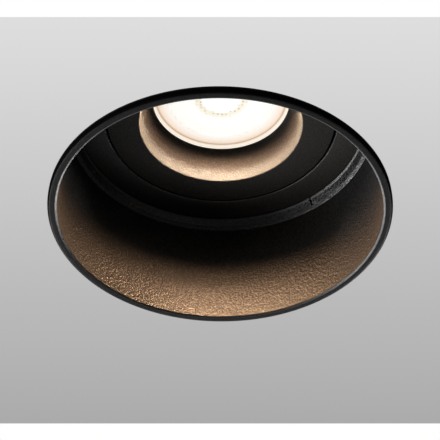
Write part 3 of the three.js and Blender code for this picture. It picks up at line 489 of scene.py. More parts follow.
GIMBAL_RADIUS = 37.3
GIMBAL_EDGE = 38.875
GIMBAL_BACK = 40.175
BOWL_RADIUS = 26.6
BOWL_MOUTH = 37.725
SEAT_RADIUS = 22.7
SEAT_BOTTOM = 48.525
SEAT_TOP = 49.525
COLLAR_BORE = 25.35
COLLAR_RADIUS = 27.1
COLLAR_TOP = 61.425
WIRE_GROOVE = (57.3, 59.35, 26.3)
GIMBAL_EAR = (34.5, 37.0)
RIB_COUNT = 8
RIB = (26.2, 33.5, 6.5, 0.7)
VENT_COUNT = 6
VENT = (4, 51.425, 4.6)

gimbal = turned([
    (BOWL_RADIUS, BOWL_MOUTH, 0.35),
    (GIMBAL_RADIUS, GIMBAL_EDGE, 0.22),
    (GIMBAL_RADIUS, GIMBAL_BACK, 0.3),
    (COLLAR_RADIUS + 1.3, GIMBAL_BACK, 0.8),
    (COLLAR_RADIUS, SEAT_BOTTOM),
    (COLLAR_RADIUS, COLLAR_TOP, 0.4),
    (COLLAR_BORE, COLLAR_TOP, 0.4),
    (COLLAR_BORE, WIRE_GROOVE[1]),
    (WIRE_GROOVE[2], WIRE_GROOVE[1]),
    (WIRE_GROOVE[2], WIRE_GROOVE[0]),
    (COLLAR_BORE, WIRE_GROOVE[0]),
    (COLLAR_BORE, SEAT_TOP),
    (SEAT_RADIUS, SEAT_TOP, 0.2),
    (SEAT_RADIUS, SEAT_BOTTOM, 0.2),
])
root = GIMBAL_BACK - 0.65
rib = outline_of([
    (RIB[0], root),
    (RIB[1], root),
    (RIB[1], GIMBAL_BACK + 0.3),
    (RIB[0], GIMBAL_BACK + RIB[2]),
])
ribs = copied(pulled(rib, -RIB[3], RIB[3]), RIB_COUNT, math.pi / RIB_COUNT)
ears = copied(ear(*GIMBAL_EAR, root), 2)
gimbal = combined(gimbal, together(ribs, ears), "UNION")
vent = block((COLLAR_BORE - 2, -VENT[0], VENT[1]), (COLLAR_RADIUS + 2, VENT[0], VENT[1] + VENT[2]))
gimbal = combined(gimbal, copied(vent, VENT_COUNT), "DIFFERENCE")
# The gimbal's coat is painted paler as painted light.
gimbal = placed("gimbal_casting", gimbal, lit_inner_coat, "gimbal", "gimbal_ring", slot="black_coat")
# The plate's rim is painted near-black as painted shade in the slit round it.
repainted(gimbal, shade_black, GIMBAL_RADIUS - SLIT_DEPTH, FAR, GIMBAL_EDGE, GIMBAL_BACK)

# ----------------------------------------
# Lamp lens: a frosted moulding with a bright boss, a ring of dots, fine rings and a clear rim.
# It glows warm white, brightest over the light sources.

LENS_RADIUS = 23.7
LENS_FRONT = 49.925
LENS_BACK = 51.525
LENS_FIELD = LENS_FRONT + 0.65
LENS_RIM = 1.1
BOSS_RADII = (6.1, 6.6)
BOSS_RISE = 0.5
LENS_RINGS = (13.75, 18.15)
RING_HALF = 0.55
RING_RISE = 0.3
DOT_SCALE = 17
DOT_EDGE = (0.22, 0.34)
DOT_COLOURS = (
    (0.0, 1.0, 1.0, 1.0), (0.25, 1.0, 1.0, 1.0), (0.29, 0.50, 0.43, 0.30), (0.36, 0.74, 0.66, 0.50),
    (0.40, 0.96, 0.95, 0.90), (0.66, 0.97, 0.94, 0.89), (0.74, 0.80, 0.73, 0.65),
    (0.79, 0.95, 0.89, 0.82), (0.90, 0.84, 0.64, 0.48), (0.92, 0.46, 0.29, 0.18),
    (0.94, 0.95, 0.85, 0.72), (1.0, 0.95, 0.87, 0.76),
)
FIELD_COLOURS = (
    (0.0, 1.0, 1.0, 1.0), (0.27, 1.0, 1.0, 1.0), (0.31, 0.90, 0.84, 0.70), (0.37, 0.94, 0.90, 0.79),
    (0.41, 0.99, 0.99, 0.96), (0.72, 0.98, 0.97, 0.93), (0.76, 0.95, 0.91, 0.85),
    (0.80, 0.95, 0.89, 0.82), (0.89, 0.88, 0.71, 0.57), (0.915, 0.50, 0.33, 0.21),
    (0.94, 0.95, 0.85, 0.72), (1.0, 0.95, 0.87, 0.76),
)


def colours_along(tree, value, stops):
    """A colour for each value from 0 to 1. A stop is its place and its red, green and blue."""
    ramp = tree.nodes.new("ShaderNodeValToRGB")
    while len(ramp.color_ramp.elements) < len(stops):
        ramp.color_ramp.elements.new(0.5)
    for element, (place, *colour) in zip(ramp.color_ramp.elements, stops):
        element.position = place
        element.color = (*colour, 1)
    tree.links.new(value, ramp.inputs["Fac"])
    return ramp.outputs["Color"]


def lens_glow():
    """The lit lens: its colour follows the distance from the axis, with rings of dots."""
    material, tree, shader, add, link = new_material("lens_glow")
    told(shader, Base_Color=(0.3, 0.27, 0.24, 1), Roughness=0.25, Emission_Strength=1.0)
    places = add("ShaderNodeTexCoord")
    shrink = 1 / (LENS_RADIUS * MM)
    flat = told(add("ShaderNodeMapping"), Scale=(shrink, shrink, 0))
    link(places.outputs["Object"], flat.inputs["Vector"])
    reach = add("ShaderNodeVectorMath")
    reach.operation = "LENGTH"
    link(flat.outputs["Vector"], reach.inputs[0])

    dots = told(add("ShaderNodeTexVoronoi"), Scale=DOT_SCALE, Randomness=0.35)
    link(flat.outputs["Vector"], dots.inputs["Vector"])
    spots = ranged(tree, dots.outputs["Distance"], *DOT_EDGE)
    at_dots = colours_along(tree, reach.outputs["Value"], DOT_COLOURS)
    between = colours_along(tree, reach.outputs["Value"], FIELD_COLOURS)
    link(mixed(tree, spots, at_dots, between), shader.inputs["Emission Color"])
    return material


rings = []
for reach in LENS_RINGS:
    rings += [(reach - RING_HALF, LENS_FIELD), (reach, LENS_FIELD - RING_RISE),
              (reach + RING_HALF, LENS_FIELD)]
lens = turned([
    (0, LENS_FIELD - BOSS_RISE),
    (BOSS_RADII[0], LENS_FIELD - BOSS_RISE, 0.4),
    (BOSS_RADII[1], LENS_FIELD),
    *rings,
    (LENS_RADIUS - LENS_RIM, LENS_FIELD),
    (LENS_RADIUS - LENS_RIM, LENS_FRONT, 0.15),
    (LENS_RADIUS, LENS_FRONT, 0.15),
    (LENS_RADIUS, LENS_BACK),
    (0, LENS_BACK),
])
lens = placed("lens", lens, lens_glow(), "gimbal", "lamp_lens", slot="lens")
lens.visible_shadow = lens.visible_diffuse = lens.visible_glossy = False

# ----------------------------------------
# Pivots: on each side a zinc-plated screw goes in through the carrier's ear, turns in a nylon
# bush between the ears, and is held by a hexagon nut inside the gimbal's ear.

zinc = finish_of("zinc", (0.56, 0.565, 0.57), 0.31, metallic=1.0, grains=1600, depth=0.003,
                 spread=0.05, pale=1.06)
nylon = finish_of("nylon", (0.68, 0.65, 0.58), 0.5, grains=900, depth=0.01)

PIVOT_HEAD_SEAT = 41.05
PIVOT_SCREW = (1.4, 9.7, 2.5, 1.6)
PIVOT_BUSH = (37.25, 39.05, 3.1)
PIVOT_NUT = (32.05, 34.25, 5.5)
THREAD = (0.5, 0.22, 0.7)  # pitch, depth and the share of the shank that has it
SCREW_TIP = 0.3
RECESS = (0.62, 0.12, 0.35)
NUT_CHAMFER = 0.5
HEAD_STEPS = 64


def screw_of(shank, length, head, height):
    """A pan-head screw along Z with a cross recess, its head's seat at zero, its thread below."""
    pitch, depth, share = THREAD
    turns = int(length * share / pitch)
    thread = []
    for i in range(turns):
        root = SCREW_TIP - length + i * pitch
        thread += [(shank, root), (shank - depth, root + pitch / 2)]
    profile = turned([
        (0, -length),
        (shank - SCREW_TIP, -length),
        *thread,
        (shank, SCREW_TIP - length + turns * pitch),
        (shank, 0),
        (head, 0, 0.12),
        (head, height, height * 0.65),
        (0, height),
    ], HEAD_STEPS)
    for i in range(2):
        reach, half = head * RECESS[0], head * RECESS[1]
        arm = block((-reach, -half, height * RECESS[2]), (reach, half, height + 1))
        profile = combined(profile, moved(arm, turn=i * math.pi / 2), "DIFFERENCE")
    return profile


def nut_of(flats, height, bore):
    """A hexagon nut along Z with both ends chamfered."""
    corner = flats / math.sqrt(3)
    hexagon = column(corner, 0, height, 6)
    rounded = turned([
        (0, 0), (flats / 2, 0), (corner + 0.2, NUT_CHAMFER), (corner + 0.2, height - NUT_CHAMFER),
        (flats / 2, height), (0, height),
    ], HEAD_STEPS)
    nut = combined(hexagon, rounded, "INTERSECT")
    return combined(nut, column(bore, -1, height + 1), "DIFFERENCE")


def ring_of(inner, outer, bottom, top, edge=0.15):
    """A ring of rectangular section with its edges rounded."""
    return turned([
        (inner, bottom, edge), (outer, bottom, edge), (outer, top, edge), (inner, top, edge)
    ], HEAD_STEPS)


SIDES = (("right", 0), ("left", math.pi))
for side, turn in SIDES:
    for name, bm, material, reach, slot in (
        ("screw", screw_of(*PIVOT_SCREW), zinc, PIVOT_HEAD_SEAT, "zinc_steel"),
        ("bush", ring_of(PIVOT_HOLE, PIVOT_BUSH[2], 0, PIVOT_BUSH[1] - PIVOT_BUSH[0]), nylon,
         PIVOT_BUSH[0], "nylon"),
        ("nut", nut_of(PIVOT_NUT[2], PIVOT_NUT[1] - PIVOT_NUT[0], PIVOT_HOLE), zinc, PIVOT_NUT[0],
         "zinc_steel"),
    ):
        moved(bm, (reach, 0, PIVOT_HEIGHT), math.pi / 2, "Y")
        placed(f"pivot_{name}_piece_{side}", moved(bm, turn=turn), material, "gimbal",
               f"pivot_{name}_{side}", slot=slot)

# ----------------------------------------
# Lamp: a die-cast, bead-blasted aluminium reflector body with cooling slots round its taper, and
# a moulded plug base with two headed brass pins. The boards inside it stay as the CAD has them.

cast_aluminium = finish_of("cast_aluminium", (0.50, 0.505, 0.51), 0.42, metallic=1.0, grains=2200,
                           depth=0.018, spread=0.05, pale=1.12)
white_plastic = finish_of("white_plastic", (0.7, 0.68, 0.62), 0.35, grains=1200, depth=0.01)
brass = finish_of("brass", (0.58, 0.40, 0.14), 0.3, metallic=1.0, grains=900, depth=0.008)
board_white = finish_of("board_white", (0.8, 0.78, 0.73), 0.45, grains=900, depth=0.005)
board_green = finish_of("board_green", (0.028, 0.15, 0.06), 0.45, grains=900, depth=0.005)

RIM_BOTTOM = 49.775
RIM_TOP = 57.175
TAPER_TOP = 84.175
NECK_TOP = 88.675
NECK_RADIUS = 12.4
NECK_WALL = 1.5
LAMP_RADIUS = 25
WAIST_RADIUS = 22.7
LENS_BORE = 23.95
LENS_SEAT = 51.775
ROOM_BORE = 21.55
HEAT_PLATE = (55.975, 60.375)
FIN_COUNT = 24
FIN_SLOT = (59.335, 80.935, 1.4, 2.4)
FIN_START = math.pi / 96
ROOM_WALL = 3.9
BASE = (85.925, 88.925, 93.925, 97.125)
BASE_RADII = (8.25, 10.65, 11.6)
BASE_FLAT = 9.4
PIN_REACH = 5
PIN_RADII = (1.6, 2.4)
PIN_FIT = 1.85
PIN_ENDS = (94.125, 101.725, 104.225)
HOUSING_STEPS = 192
BASE_STEPS = 128


def taper(z):
    """Radius of the lamp's taper at a height."""
    return WAIST_RADIUS + (NECK_RADIUS - WAIST_RADIUS) * (z - RIM_TOP) / (TAPER_TOP - RIM_TOP)


def softened(bm, width, segments=2, sharp=math.radians(35)):
    """Rounds every sharp edge of a closed bmesh."""
    bmesh.ops.remove_doubles(bm, verts=bm.verts, dist=1e-6)
    bmesh.ops.dissolve_limit(bm, angle_limit=math.radians(0.5), verts=bm.verts, edges=bm.edges)
    edges = [e for e in bm.edges if len(e.link_faces) == 2 and e.calc_face_angle(0) > sharp]
    bmesh.ops.bevel(
        bm, geom=edges, offset=width * MM, offset_type="OFFSET", segments=segments, profile=0.5,
        affect="EDGES", material=-1, clamp_overlap=True,
    )
    return bm


housing = turned([
    (0, HEAT_PLATE[0]),
    (ROOM_BORE, HEAT_PLATE[0]),
    (ROOM_BORE, LENS_SEAT),
    (LENS_BORE, LENS_SEAT),
    (LENS_BORE, RIM_BOTTOM, 0.15),
    (LAMP_RADIUS, RIM_BOTTOM, 0.4),
    (LAMP_RADIUS, RIM_TOP, 0.6),
    (WAIST_RADIUS, RIM_TOP, 0.3),
    (NECK_RADIUS, TAPER_TOP, 0.8),
    (NECK_RADIUS, NECK_TOP, 0.4),
    (NECK_RADIUS - NECK_WALL, NECK_TOP, 0.3),
    (NECK_RADIUS - NECK_WALL, TAPER_TOP),
    (taper(TAPER_TOP) - ROOM_WALL, TAPER_TOP),
    (taper(HEAT_PLATE[1]) - ROOM_WALL, HEAT_PLATE[1]),
    (0, HEAT_PLATE[1]),
], HOUSING_STEPS)
low, high, width, depth = FIN_SLOT
slot = pulled(outline_of([
    (taper(low) - depth, low, 1.2),
    (taper(low) + 2, low),
    (taper(high) + 2, high),
    (taper(high) - depth, high, 1.2),
]), -width / 2, width / 2)
housing = combined(housing, copied(slot, FIN_COUNT, FIN_START), "DIFFERENCE")
placed("lamp_body", housing, cast_aluminium, "gimbal", "lamp_housing", slot="cast_aluminium")

base = turned([
    (0, BASE[2]),
    (BASE_RADII[0] + 1, BASE[2]),
    (BASE_RADII[0] + 1, BASE[1]),
    (BASE_RADII[2], BASE[1], 0.25),
    (BASE_RADII[2], BASE[3], 0.6),
    (0, BASE[3]),
], BASE_STEPS)
flat = block((-13, BASE_FLAT, BASE[1] - 1), (13, 14, BASE[3] + 2))
base = combined(base, copied(flat, 2), "DIFFERENCE")
spigot = turned([
    (BASE_RADII[0], BASE[0]),
    (BASE_RADII[1], BASE[0], 0.3),
    (BASE_RADII[1], BASE[1] + 0.3),
    (BASE_RADII[0] + 1.5, BASE[2] + 0.5),
    (BASE_RADII[0], BASE[2] + 0.5),
], BASE_STEPS)
base = combined(base, spigot, "UNION")
hole = moved(column(PIN_FIT, BASE[2] - 2, BASE[3] + 2), (PIN_REACH, 0, 0))
base = combined(base, copied(hole, 2), "DIFFERENCE")
placed("lamp_plug", base, white_plastic, "gimbal", "lamp_base", slot="white_plastic")

for name, reach in (("a", PIN_REACH), ("b", -PIN_REACH)):
    pin = turned([
        (0, PIN_ENDS[0]),
        (PIN_RADII[0], PIN_ENDS[0]),
        (PIN_RADII[0], PIN_ENDS[1]),
        (PIN_RADII[1], PIN_ENDS[1], 0.15),
        (PIN_RADII[1], PIN_ENDS[2], 0.6),
        (0, PIN_ENDS[2]),
    ], HEAD_STEPS)
    placed(f"lamp_pin_piece_{name}", moved(pin, (reach, 0, 0)), brass, "gimbal", f"lamp_pin_{name}",
           slot="brass")

for name, look, slot in (("led_board", board_white, "board_white"),
                         ("lamp_driver_board", board_green, "board_green")):
    nodes[name].data.materials.clear()
    nodes[name].data.materials.append(look)

# ----------------------------------------
# Lamp ring: drawn spring wire, sprung into the collar's groove above the lamp's rim. Its two ends
# are turned in and up so that fingers can press it together.

spring_steel = finish_of("spring_steel", (0.45, 0.445, 0.43), 0.26, metallic=1.0, grains=1200,
                         depth=0.008)

WIRE = 1.8
WIRE_RING = 25.15
WIRE_HEIGHT = 58.325
WIRE_GAP = math.radians(36)
WIRE_TAIL = (24.05, 3.6)


def wire_of(points, thickness):
    """A round wire along a line of points in millimetres, closed at both ends."""
    curve = bpy.data.curves.new("wire", "CURVE")
    curve.dimensions = "3D"
    curve.bevel_depth = thickness / 2 * MM
    curve.bevel_resolution = 4
    curve.use_fill_caps = True
    line = curve.splines.new("POLY")
    line.points.add(len(points) - 1)
    for spot, point in zip(line.points, points):
        spot.co = (*[value * MM for value in point], 1)
    holder = bpy.data.objects.new("wire", curve)
    in_scene(holder)
    bpy.context.view_layer.update()
    made = holder.evaluated_get(bpy.context.evaluated_depsgraph_get()).to_mesh()
    bm = bmesh.new()
    bm.from_mesh(made)
    bpy.data.objects.remove(holder)
    bpy.data.curves.remove(curve)
    return bm


def eased(points, rounds=3):
    """Cuts the corners of a line of points until it bends smoothly, with its ends kept."""
    for _ in range(rounds):
        spots = [Vector(point) for point in points]
        cut = [spots[0]]
        for a, b in zip(spots, spots[1:]):
            cut += [a.lerp(b, 0.25), a.lerp(b, 0.75)]
        points = [*cut, spots[-1]]
    return points


half = WIRE_GAP / 2
bend = half - (WIRE_RING - WIRE_TAIL[0]) / WIRE_RING
RING_POINTS = 160
sweep = [math.pi / 2 + half + (FULL - WIRE_GAP) * i / RING_POINTS for i in range(RING_POINTS + 1)]
round_part = [(WIRE_RING * math.cos(a), WIRE_RING * math.sin(a), WIRE_HEIGHT) for a in sweep]
tails = []
for angle in (math.pi / 2 + bend, math.pi / 2 - bend):
    x, y = WIRE_TAIL[0] * math.cos(angle), WIRE_TAIL[0] * math.sin(angle)
    tails.append([(x, y, WIRE_HEIGHT + WIRE_TAIL[1]), (x, y, WIRE_HEIGHT + WIRE_TAIL[1] / 3)])
wire_ring = wire_of(eased([*tails[0], *round_part, *tails[1][::-1]], 2), WIRE)
placed("lamp_ring", wire_ring, spring_steel, "gimbal", "lamp_snap_ring", slot="spring_steel")

# ----------------------------------------
# Lampholder: a pressed steatite body with two keyhole slots and a cover, held together by two
# brass rivets, with a brass contact leaf over each of the lamp's pins.

ceramic = finish_of("ceramic", (0.72, 0.69, 0.62), 0.5, grains=1800, depth=0.025, pale=1.08)

HOLDER_RADIUS = 14.5
HOLDER_BOTTOM = 97.375
HOLDER_TOP = 112.375
POCKET_FLOOR = 100.975
COVER = (112.625, 115.625)
KEY_TURN = math.radians(30)
SLOT_HALF = 1.9
POCKET_HALF = 2.9
ENTRY_RADIUS = 2.7
RIVET_REACH = 10.4
RIVET_HOLE = 1.5
RIVET_SINK = (2.45, 98.675)
LEAD_HOLE = (1.7, 8.6, math.radians(-15))
RIVET = ((0, 97.9), (0.8, 97.9), (0.95, 97.625), (2.2, 97.625, 0.3), (2.2, 98.425),
         (1.25, 98.425), (1.25, 115.875), (2.2, 115.875), (2.2, 116.675, 0.5),
         (0.9, 116.675, 0.2), (0.8, 116.2), (0, 116.2))
CONTACT = (104.475, 0.5, 1.4)
LEAF = (-1.9, 1.95, 0.45, 6)
HOLDER_STEPS = 128
KEY_STEPS = 16


def key_slots(half, bottom, top):
    """Two round-ended slots along the pins' circle, each from its home end back to its entry."""
    corners = []
    for centre, reach, first, sweep in (((0, 0), PIN_REACH + half, 0, -KEY_TURN),
                                        ((PIN_REACH, -KEY_TURN), half, -KEY_TURN, -math.pi),
                                        ((0, 0), PIN_REACH - half, -KEY_TURN, KEY_TURN),
                                        ((PIN_REACH, 0), half, math.pi, -math.pi)):
        x, y = centre[0] * math.cos(centre[1]), centre[0] * math.sin(centre[1])
        for i in range(KEY_STEPS):
            angle = first + sweep * i / KEY_STEPS
            corners.append((x + reach * math.cos(angle), y + reach * math.sin(angle)))
    slot = moved(pulled(outline_of(corners), -top, -bottom), turn=-math.pi / 2, axis="X")
    return copied(slot, 2)


holder = turned([
    (0, HOLDER_BOTTOM),
    (HOLDER_RADIUS, HOLDER_BOTTOM, 1.0),
    (HOLDER_RADIUS, HOLDER_TOP, 0.3),
    (0, HOLDER_TOP),
], HOLDER_STEPS)
entry = moved(column(ENTRY_RADIUS, HOLDER_BOTTOM - 2, POCKET_FLOOR + 2), (PIN_REACH, 0, 0))
moved(entry, turn=-KEY_TURN)
rivet_holes = [
    copied(moved(column(radius, low, high), (0, RIVET_REACH, 0)), 2)
    for radius, low, high in ((RIVET_HOLE, HOLDER_BOTTOM - 2, HOLDER_TOP + 2),
                              (RIVET_SINK[0], HOLDER_BOTTOM - 2, RIVET_SINK[1]))
]
for cut in (key_slots(SLOT_HALF, HOLDER_BOTTOM - 2, POCKET_FLOOR + 2),
            key_slots(POCKET_HALF, POCKET_FLOOR, HOLDER_TOP + 2), copied(entry, 2), *rivet_holes):
    holder = combined(holder, cut, "DIFFERENCE")
placed("holder_body", holder, ceramic, "lampholder", "lampholder_body", slot="ceramic")

cover = turned([
    (0, COVER[0]),
    (HOLDER_RADIUS, COVER[0], 0.3),
    (HOLDER_RADIUS, COVER[1], 1.0),
    (0, COVER[1]),
], HOLDER_STEPS)
lead = moved(column(LEAD_HOLE[0], COVER[0] - 2, COVER[1] + 2), (LEAD_HOLE[1], 0, 0))
rivet = moved(column(RIVET_HOLE, COVER[0] - 2, COVER[1] + 2), (0, RIVET_REACH, 0))
cover = combined(cover, together(copied(lead, 2, LEAD_HOLE[2]), copied(rivet, 2)), "DIFFERENCE")
placed("holder_cover", cover, ceramic, "lampholder", "lampholder_cover", slot="ceramic")


def bent(points, thickness):
    """Outline of a bent sheet along its middle line. A third number is a bend's middle radius."""
    spots = [Vector(point[:2]) for point in points]
    along = [(b - a).normalized() for a, b in zip(spots, spots[1:])]
    sides = []
    for offset in (-thickness / 2, thickness / 2):
        side = []
        for i, (spot, point) in enumerate(zip(spots, points)):
            before, after = along[max(i - 1, 0)], along[min(i, len(along) - 1)]
            middle = (before + after).normalized()
            reach = offset / middle.dot(before)
            corner = (spot.x - middle.y * reach, spot.y + middle.x * reach)
            if len(point) > 2:
                bend = math.atan2(before.x * after.y - before.y * after.x, before.dot(after))
                radius = point[2] - math.copysign(offset, bend * offset)
                corner = (*corner, radius * math.tan(abs(bend) / 2))
            side.append(corner)
        sides.append(side)
    return sides[0] + sides[1][::-1]


for name, turn in (("a", 0), ("b", math.pi)):
    floor, sheet, half = CONTACT
    back, front, bend, height = LEAF
    leaf = pulled(outline_of(bent([
        (back, floor + sheet / 2), (front, floor + sheet / 2, bend), (front, floor + sheet + height)
    ], sheet)), -half, half)
    placed(f"holder_contact_{name}", moved(moved(leaf, (PIN_REACH, 0, 0)), turn=turn), brass,
           "lampholder", f"lampholder_contact_{name}", slot="brass")
    rivet = turned(RIVET, HEAD_STEPS)
    placed(f"holder_rivet_{name}", moved(moved(rivet, (0, RIVET_REACH, 0)), turn=turn), brass,
           "lampholder", f"lampholder_rivet_{name}", slot="brass")

# ----------------------------------------
# Spring clips: on each side a zinc-plated bracket is screwed down on the ledge. A bent sheet arm
# with a soft sleeve on its foot turns on a riveted pin, and a wound torsion spring presses it down.

silicone = finish_of("silicone", (0.56, 0.55, 0.52), 0.6, grains=900, depth=0.02, pale=1.1)

CLIP_PIN = (47.4, 49.925)
CLIP_SCREW = (47.35, CLIP_SCREW_REACH, 44.625)
CLIP_SCREW_SIZE = (1.15, 3.7, 2.1, 1.3)
BRACKET_BASE = (-3.3, 2.2, -6.55, -5.55, 12.6)
BRACKET_EARS = (6.5, 7.7)
BRACKET_CROWN = 3.1
PIN_HOLE = 1.4
SHANK = (1.15, 7.95, 2.1, 0.9)
ARM_SHEET = 0.9
ARM_HALF = 6.2
FOOT_HALF = 4.5
CHEEK_RADIUS = 3.2
CHEEK_FOOT = (20, -22.1)
ARM_LINE = [(4.6, 0.9), (12, 0.3, 2.4), (28, -44.5, 2.2), (31, -48, 2.2), (33.5, -45)]
PAD_START = (24.8, -35.54)
PAD_WALL = 0.8
PAD_PLAY = 0.15
COIL = (2.35, 1.1, 4.25, 1.65)
COIL_STEPS = 40
COIL_FOOT = -5.3
COIL_LEG = (11, 1.55)
FOLD_ROUNDING = 0.12
PLAN = (-6, 12, 35.5)


def arm_plan(extra):
    """The arm's plan, raised into a block: wide at the pin and narrower towards the foot."""
    wide, narrow = ARM_HALF + extra, FOOT_HALF + extra
    start, middle, end = PLAN
    plan = pulled(outline_of([
        (start, -wide), (middle, -wide), (end, -narrow),
        (end, narrow), (middle, wide), (start, wide),
    ]), -8, 54)
    return moved(plan, turn=-math.pi / 2, axis="X")


def clip_arm():
    """The bent web with a cheek down each side, and the hole for the pin across them."""
    web = pulled(outline_of(bent(ARM_LINE, ARM_SHEET)), -ARM_HALF, ARM_HALF)
    along_web = bent([*ARM_LINE[:2], CHEEK_FOOT], ARM_SHEET)[2:]
    cheeks = [
        pulled(outline_of([
            (-CHEEK_RADIUS, CHEEK_RADIUS, CHEEK_RADIUS - 0.05),
            (-CHEEK_RADIUS, -CHEEK_RADIUS, CHEEK_RADIUS - 0.05),
            (8.8, -CHEEK_RADIUS, 2.5),
            *along_web,
            (0, CHEEK_RADIUS, 1.5),
        ]), low, low + ARM_SHEET)
        for low in (-ARM_HALF, ARM_HALF - ARM_SHEET)
    ]
    arm = combined(web, together(*cheeks), "UNION")
    arm = combined(arm, arm_plan(0), "INTERSECT")
    drill = moved(column(PIN_HOLE, -9, 9), turn=math.pi / 2, axis="X")
    return combined(softened(arm, FOLD_ROUNDING), drill, "DIFFERENCE")


def clip_sleeve():
    """The soft sleeve on the arm's foot, open at both ends."""
    start, end = Vector(PAD_START), Vector(ARM_LINE[-1])
    back = start + (start - Vector(ARM_LINE[2][:2])).normalized() * 2
    past = end + (end - Vector(ARM_LINE[3][:2])).normalized() * 2
    inside = ARM_SHEET + 2 * PAD_PLAY
    sleeve, room = [
        pulled(outline_of(bent([tuple(first), *ARM_LINE[2:4], tuple(last)], sheet)), -9, 9)
        for first, last, sheet in ((start, end, inside + 2 * PAD_WALL), (back, past, inside))
    ]
    sleeve = softened(combined(sleeve, arm_plan(PAD_PLAY + PAD_WALL), "INTERSECT"), 0.35, 3)
    room = combined(room, arm_plan(PAD_PLAY), "INTERSECT")
    return combined(sleeve, room, "DIFFERENCE")


def clip_bracket():
    """The base on the ledge and two ears bent up from it, with holes for the pin and two screws."""
    inner, outer, floor, top, reach = BRACKET_BASE
    plan = pulled(outline_of([
        (inner, -reach, 1.4), (outer, -reach, 1.4), (outer, reach, 1.4), (inner, reach, 1.4)
    ]), -top, -floor)
    base = softened(moved(plan, turn=-math.pi / 2, axis="X"), FOLD_ROUNDING)
    root = (floor + top) / 2
    crown = (BRACKET_CROWN, BRACKET_CROWN, BRACKET_CROWN - 0.05)
    ears = [
        softened(pulled(outline_of([
            (-crown[0], root), (outer - 0.15, root), (crown[0], -1), crown, (-crown[0], *crown[1:])
        ]), low, high), FOLD_ROUNDING)
        for low, high in (BRACKET_EARS, (-BRACKET_EARS[1], -BRACKET_EARS[0]))
    ]
    bracket = combined(base, together(*ears), "UNION")
    drill = moved(column(PIN_HOLE, -9, 9), turn=math.pi / 2, axis="X")
    bracket = combined(bracket, drill, "DIFFERENCE")
    for y in (-CLIP_SCREW[1], CLIP_SCREW[1]):
        hole = moved(column(PIN_HOLE, floor - 2, top + 2), (CLIP_SCREW[0] - CLIP_PIN[0], y, 0))
        bracket = combined(bracket, hole, "DIFFERENCE")
    return bracket


def clip_spring():
    """One wound wire: a leg that stands on the bracket, the coil, and a leg on the arm."""
    radius, wire, turns, pitch = COIL
    half = turns * pitch / 2
    steps = int(turns * COIL_STEPS)
    coil = []
    for i in range(steps + 1):
        angle = math.pi - FULL * turns * i / steps
        across = 2 * half * i / steps - half
        coil.append((radius * math.cos(angle), across, radius * math.sin(angle)))
    first = [(-radius, -half, COIL_FOOT), (-radius, -half, COIL_FOOT / 2)]
    last = [(COIL_LEG[0] / 2, half, radius - 0.3), (COIL_LEG[0], half, COIL_LEG[1])]
    return wire_of([*first, *coil, *last], wire)


for side, turn in SIDES:
    shank, reach, head, height = SHANK
    pin = turned([
        (0, -reach - height),
        (head, -reach - height, 0.5),
        (head, -reach),
        (shank, -reach),
        (shank, reach),
        (head, reach),
        (head, reach + height, 0.5),
        (0, reach + height),
    ], HEAD_STEPS)
    moved(pin, turn=math.pi / 2, axis="X")
    body = f"clip_{side}"
    for name, bm, material, rides, slot in (
        ("bracket", clip_bracket(), zinc, "trim", "zinc_steel"),
        ("pin", pin, zinc, "trim", "zinc_steel"),
        ("arm", clip_arm(), zinc, body, "zinc_steel"),
        ("pad", clip_sleeve(), silicone, body, "silicone"),
        ("spring", clip_spring(), spring_steel, None, "spring_steel"),
    ):
        moved(bm, (CLIP_PIN[0], 0, CLIP_PIN[1]))
        made = placed(f"clip_{name}_piece_{side}", moved(bm, turn=turn), material, rides,
                      f"clip_{name}_{side}", slot=slot)
        if name == "spring":
            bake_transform(made)
    for i, y in enumerate((-CLIP_SCREW[1], CLIP_SCREW[1])):
        screw = moved(screw_of(*CLIP_SCREW_SIZE), (CLIP_SCREW[0], y, CLIP_SCREW[2]))
        placed(f"clip_screw_piece_{side}_{i + 1}", moved(screw, turn=turn), zinc, "trim",
               f"clip_screw_{side}_{i + 1}", slot="zinc_steel")

# ----------------------------------------
# Earth terminal: a brass screw into the ledge with the washer that clamps the lead.

WASHER = (2, 3.6, 43.375, 44.075)
EARTH_SCREW = (1.75, 3.4, 3.3, 2)
EARTH_SEAT = 44.325
screw = moved(screw_of(*EARTH_SCREW), (0, 0, EARTH_SEAT))
for name, bm in (("washer", ring_of(*WASHER)), ("screw", screw)):
    placed(f"earth_{name}_piece", moved(bm, (0, -LEDGE_MIDDLE, 0)), brass, "trim", f"earth_{name}",
           slot="brass")

# ----------------------------------------
# Camera and soffit: the soffit is stage, a thin pale board with the round cut-out, which the camera
# sees as pale grey with painted shade that darkens it towards the far side.

CAMERA_FOCAL = 1387 / 440
CAMERA_REACH = 425
CAMERA_RISE = math.radians(-41.69)
CAMERA_ROLL = math.radians(0.52)
AIM = Vector((0, 2.1, -1.4))
RIM_CENTRE = Vector((0, 0, -1.4))
back = Vector((0, -math.cos(CAMERA_RISE), math.sin(CAMERA_RISE)))
place = (RIM_CENTRE + CAMERA_REACH * back) * MM
roll = Matrix.Rotation(CAMERA_ROLL, 4, "Z").to_quaternion()
facing = (AIM * MM - place).to_track_quat("-Z", "Y") @ roll

camera_data = bpy.data.cameras.new("camera")
camera_data.sensor_width = 36
camera_data.lens = 36 * CAMERA_FOCAL
camera_data.clip_start = 0.01
camera_data.clip_end = 10
camera = bpy.data.objects.new("camera", camera_data)
camera.rotation_mode = "QUATERNION"
camera.location = place
camera.rotation_quaternion = facing
in_scene(camera)
bpy.context.scene.camera = camera

BOARD_TOP = 0.9
CUT_OUT = 51.55
BOARD_ROWS = (-40, 480)
BOARD_COLUMNS = (-60, 500)
PAINTED_ROWS = (17.0, 423.5)
PICTURE = 440
GREY_REACH = (-0.0775, 0.1175)
# The painted shade along the board: greys from the near side to the far side.
BOARD_SHADE_GREYS = ((0.0, 0.730), (0.26, 0.616), (0.4, 0.562), (0.62, 0.491), (1.0, 0.405))
MIRRORED_SHARE = 0.4  # how much of the painted board shiny pieces see


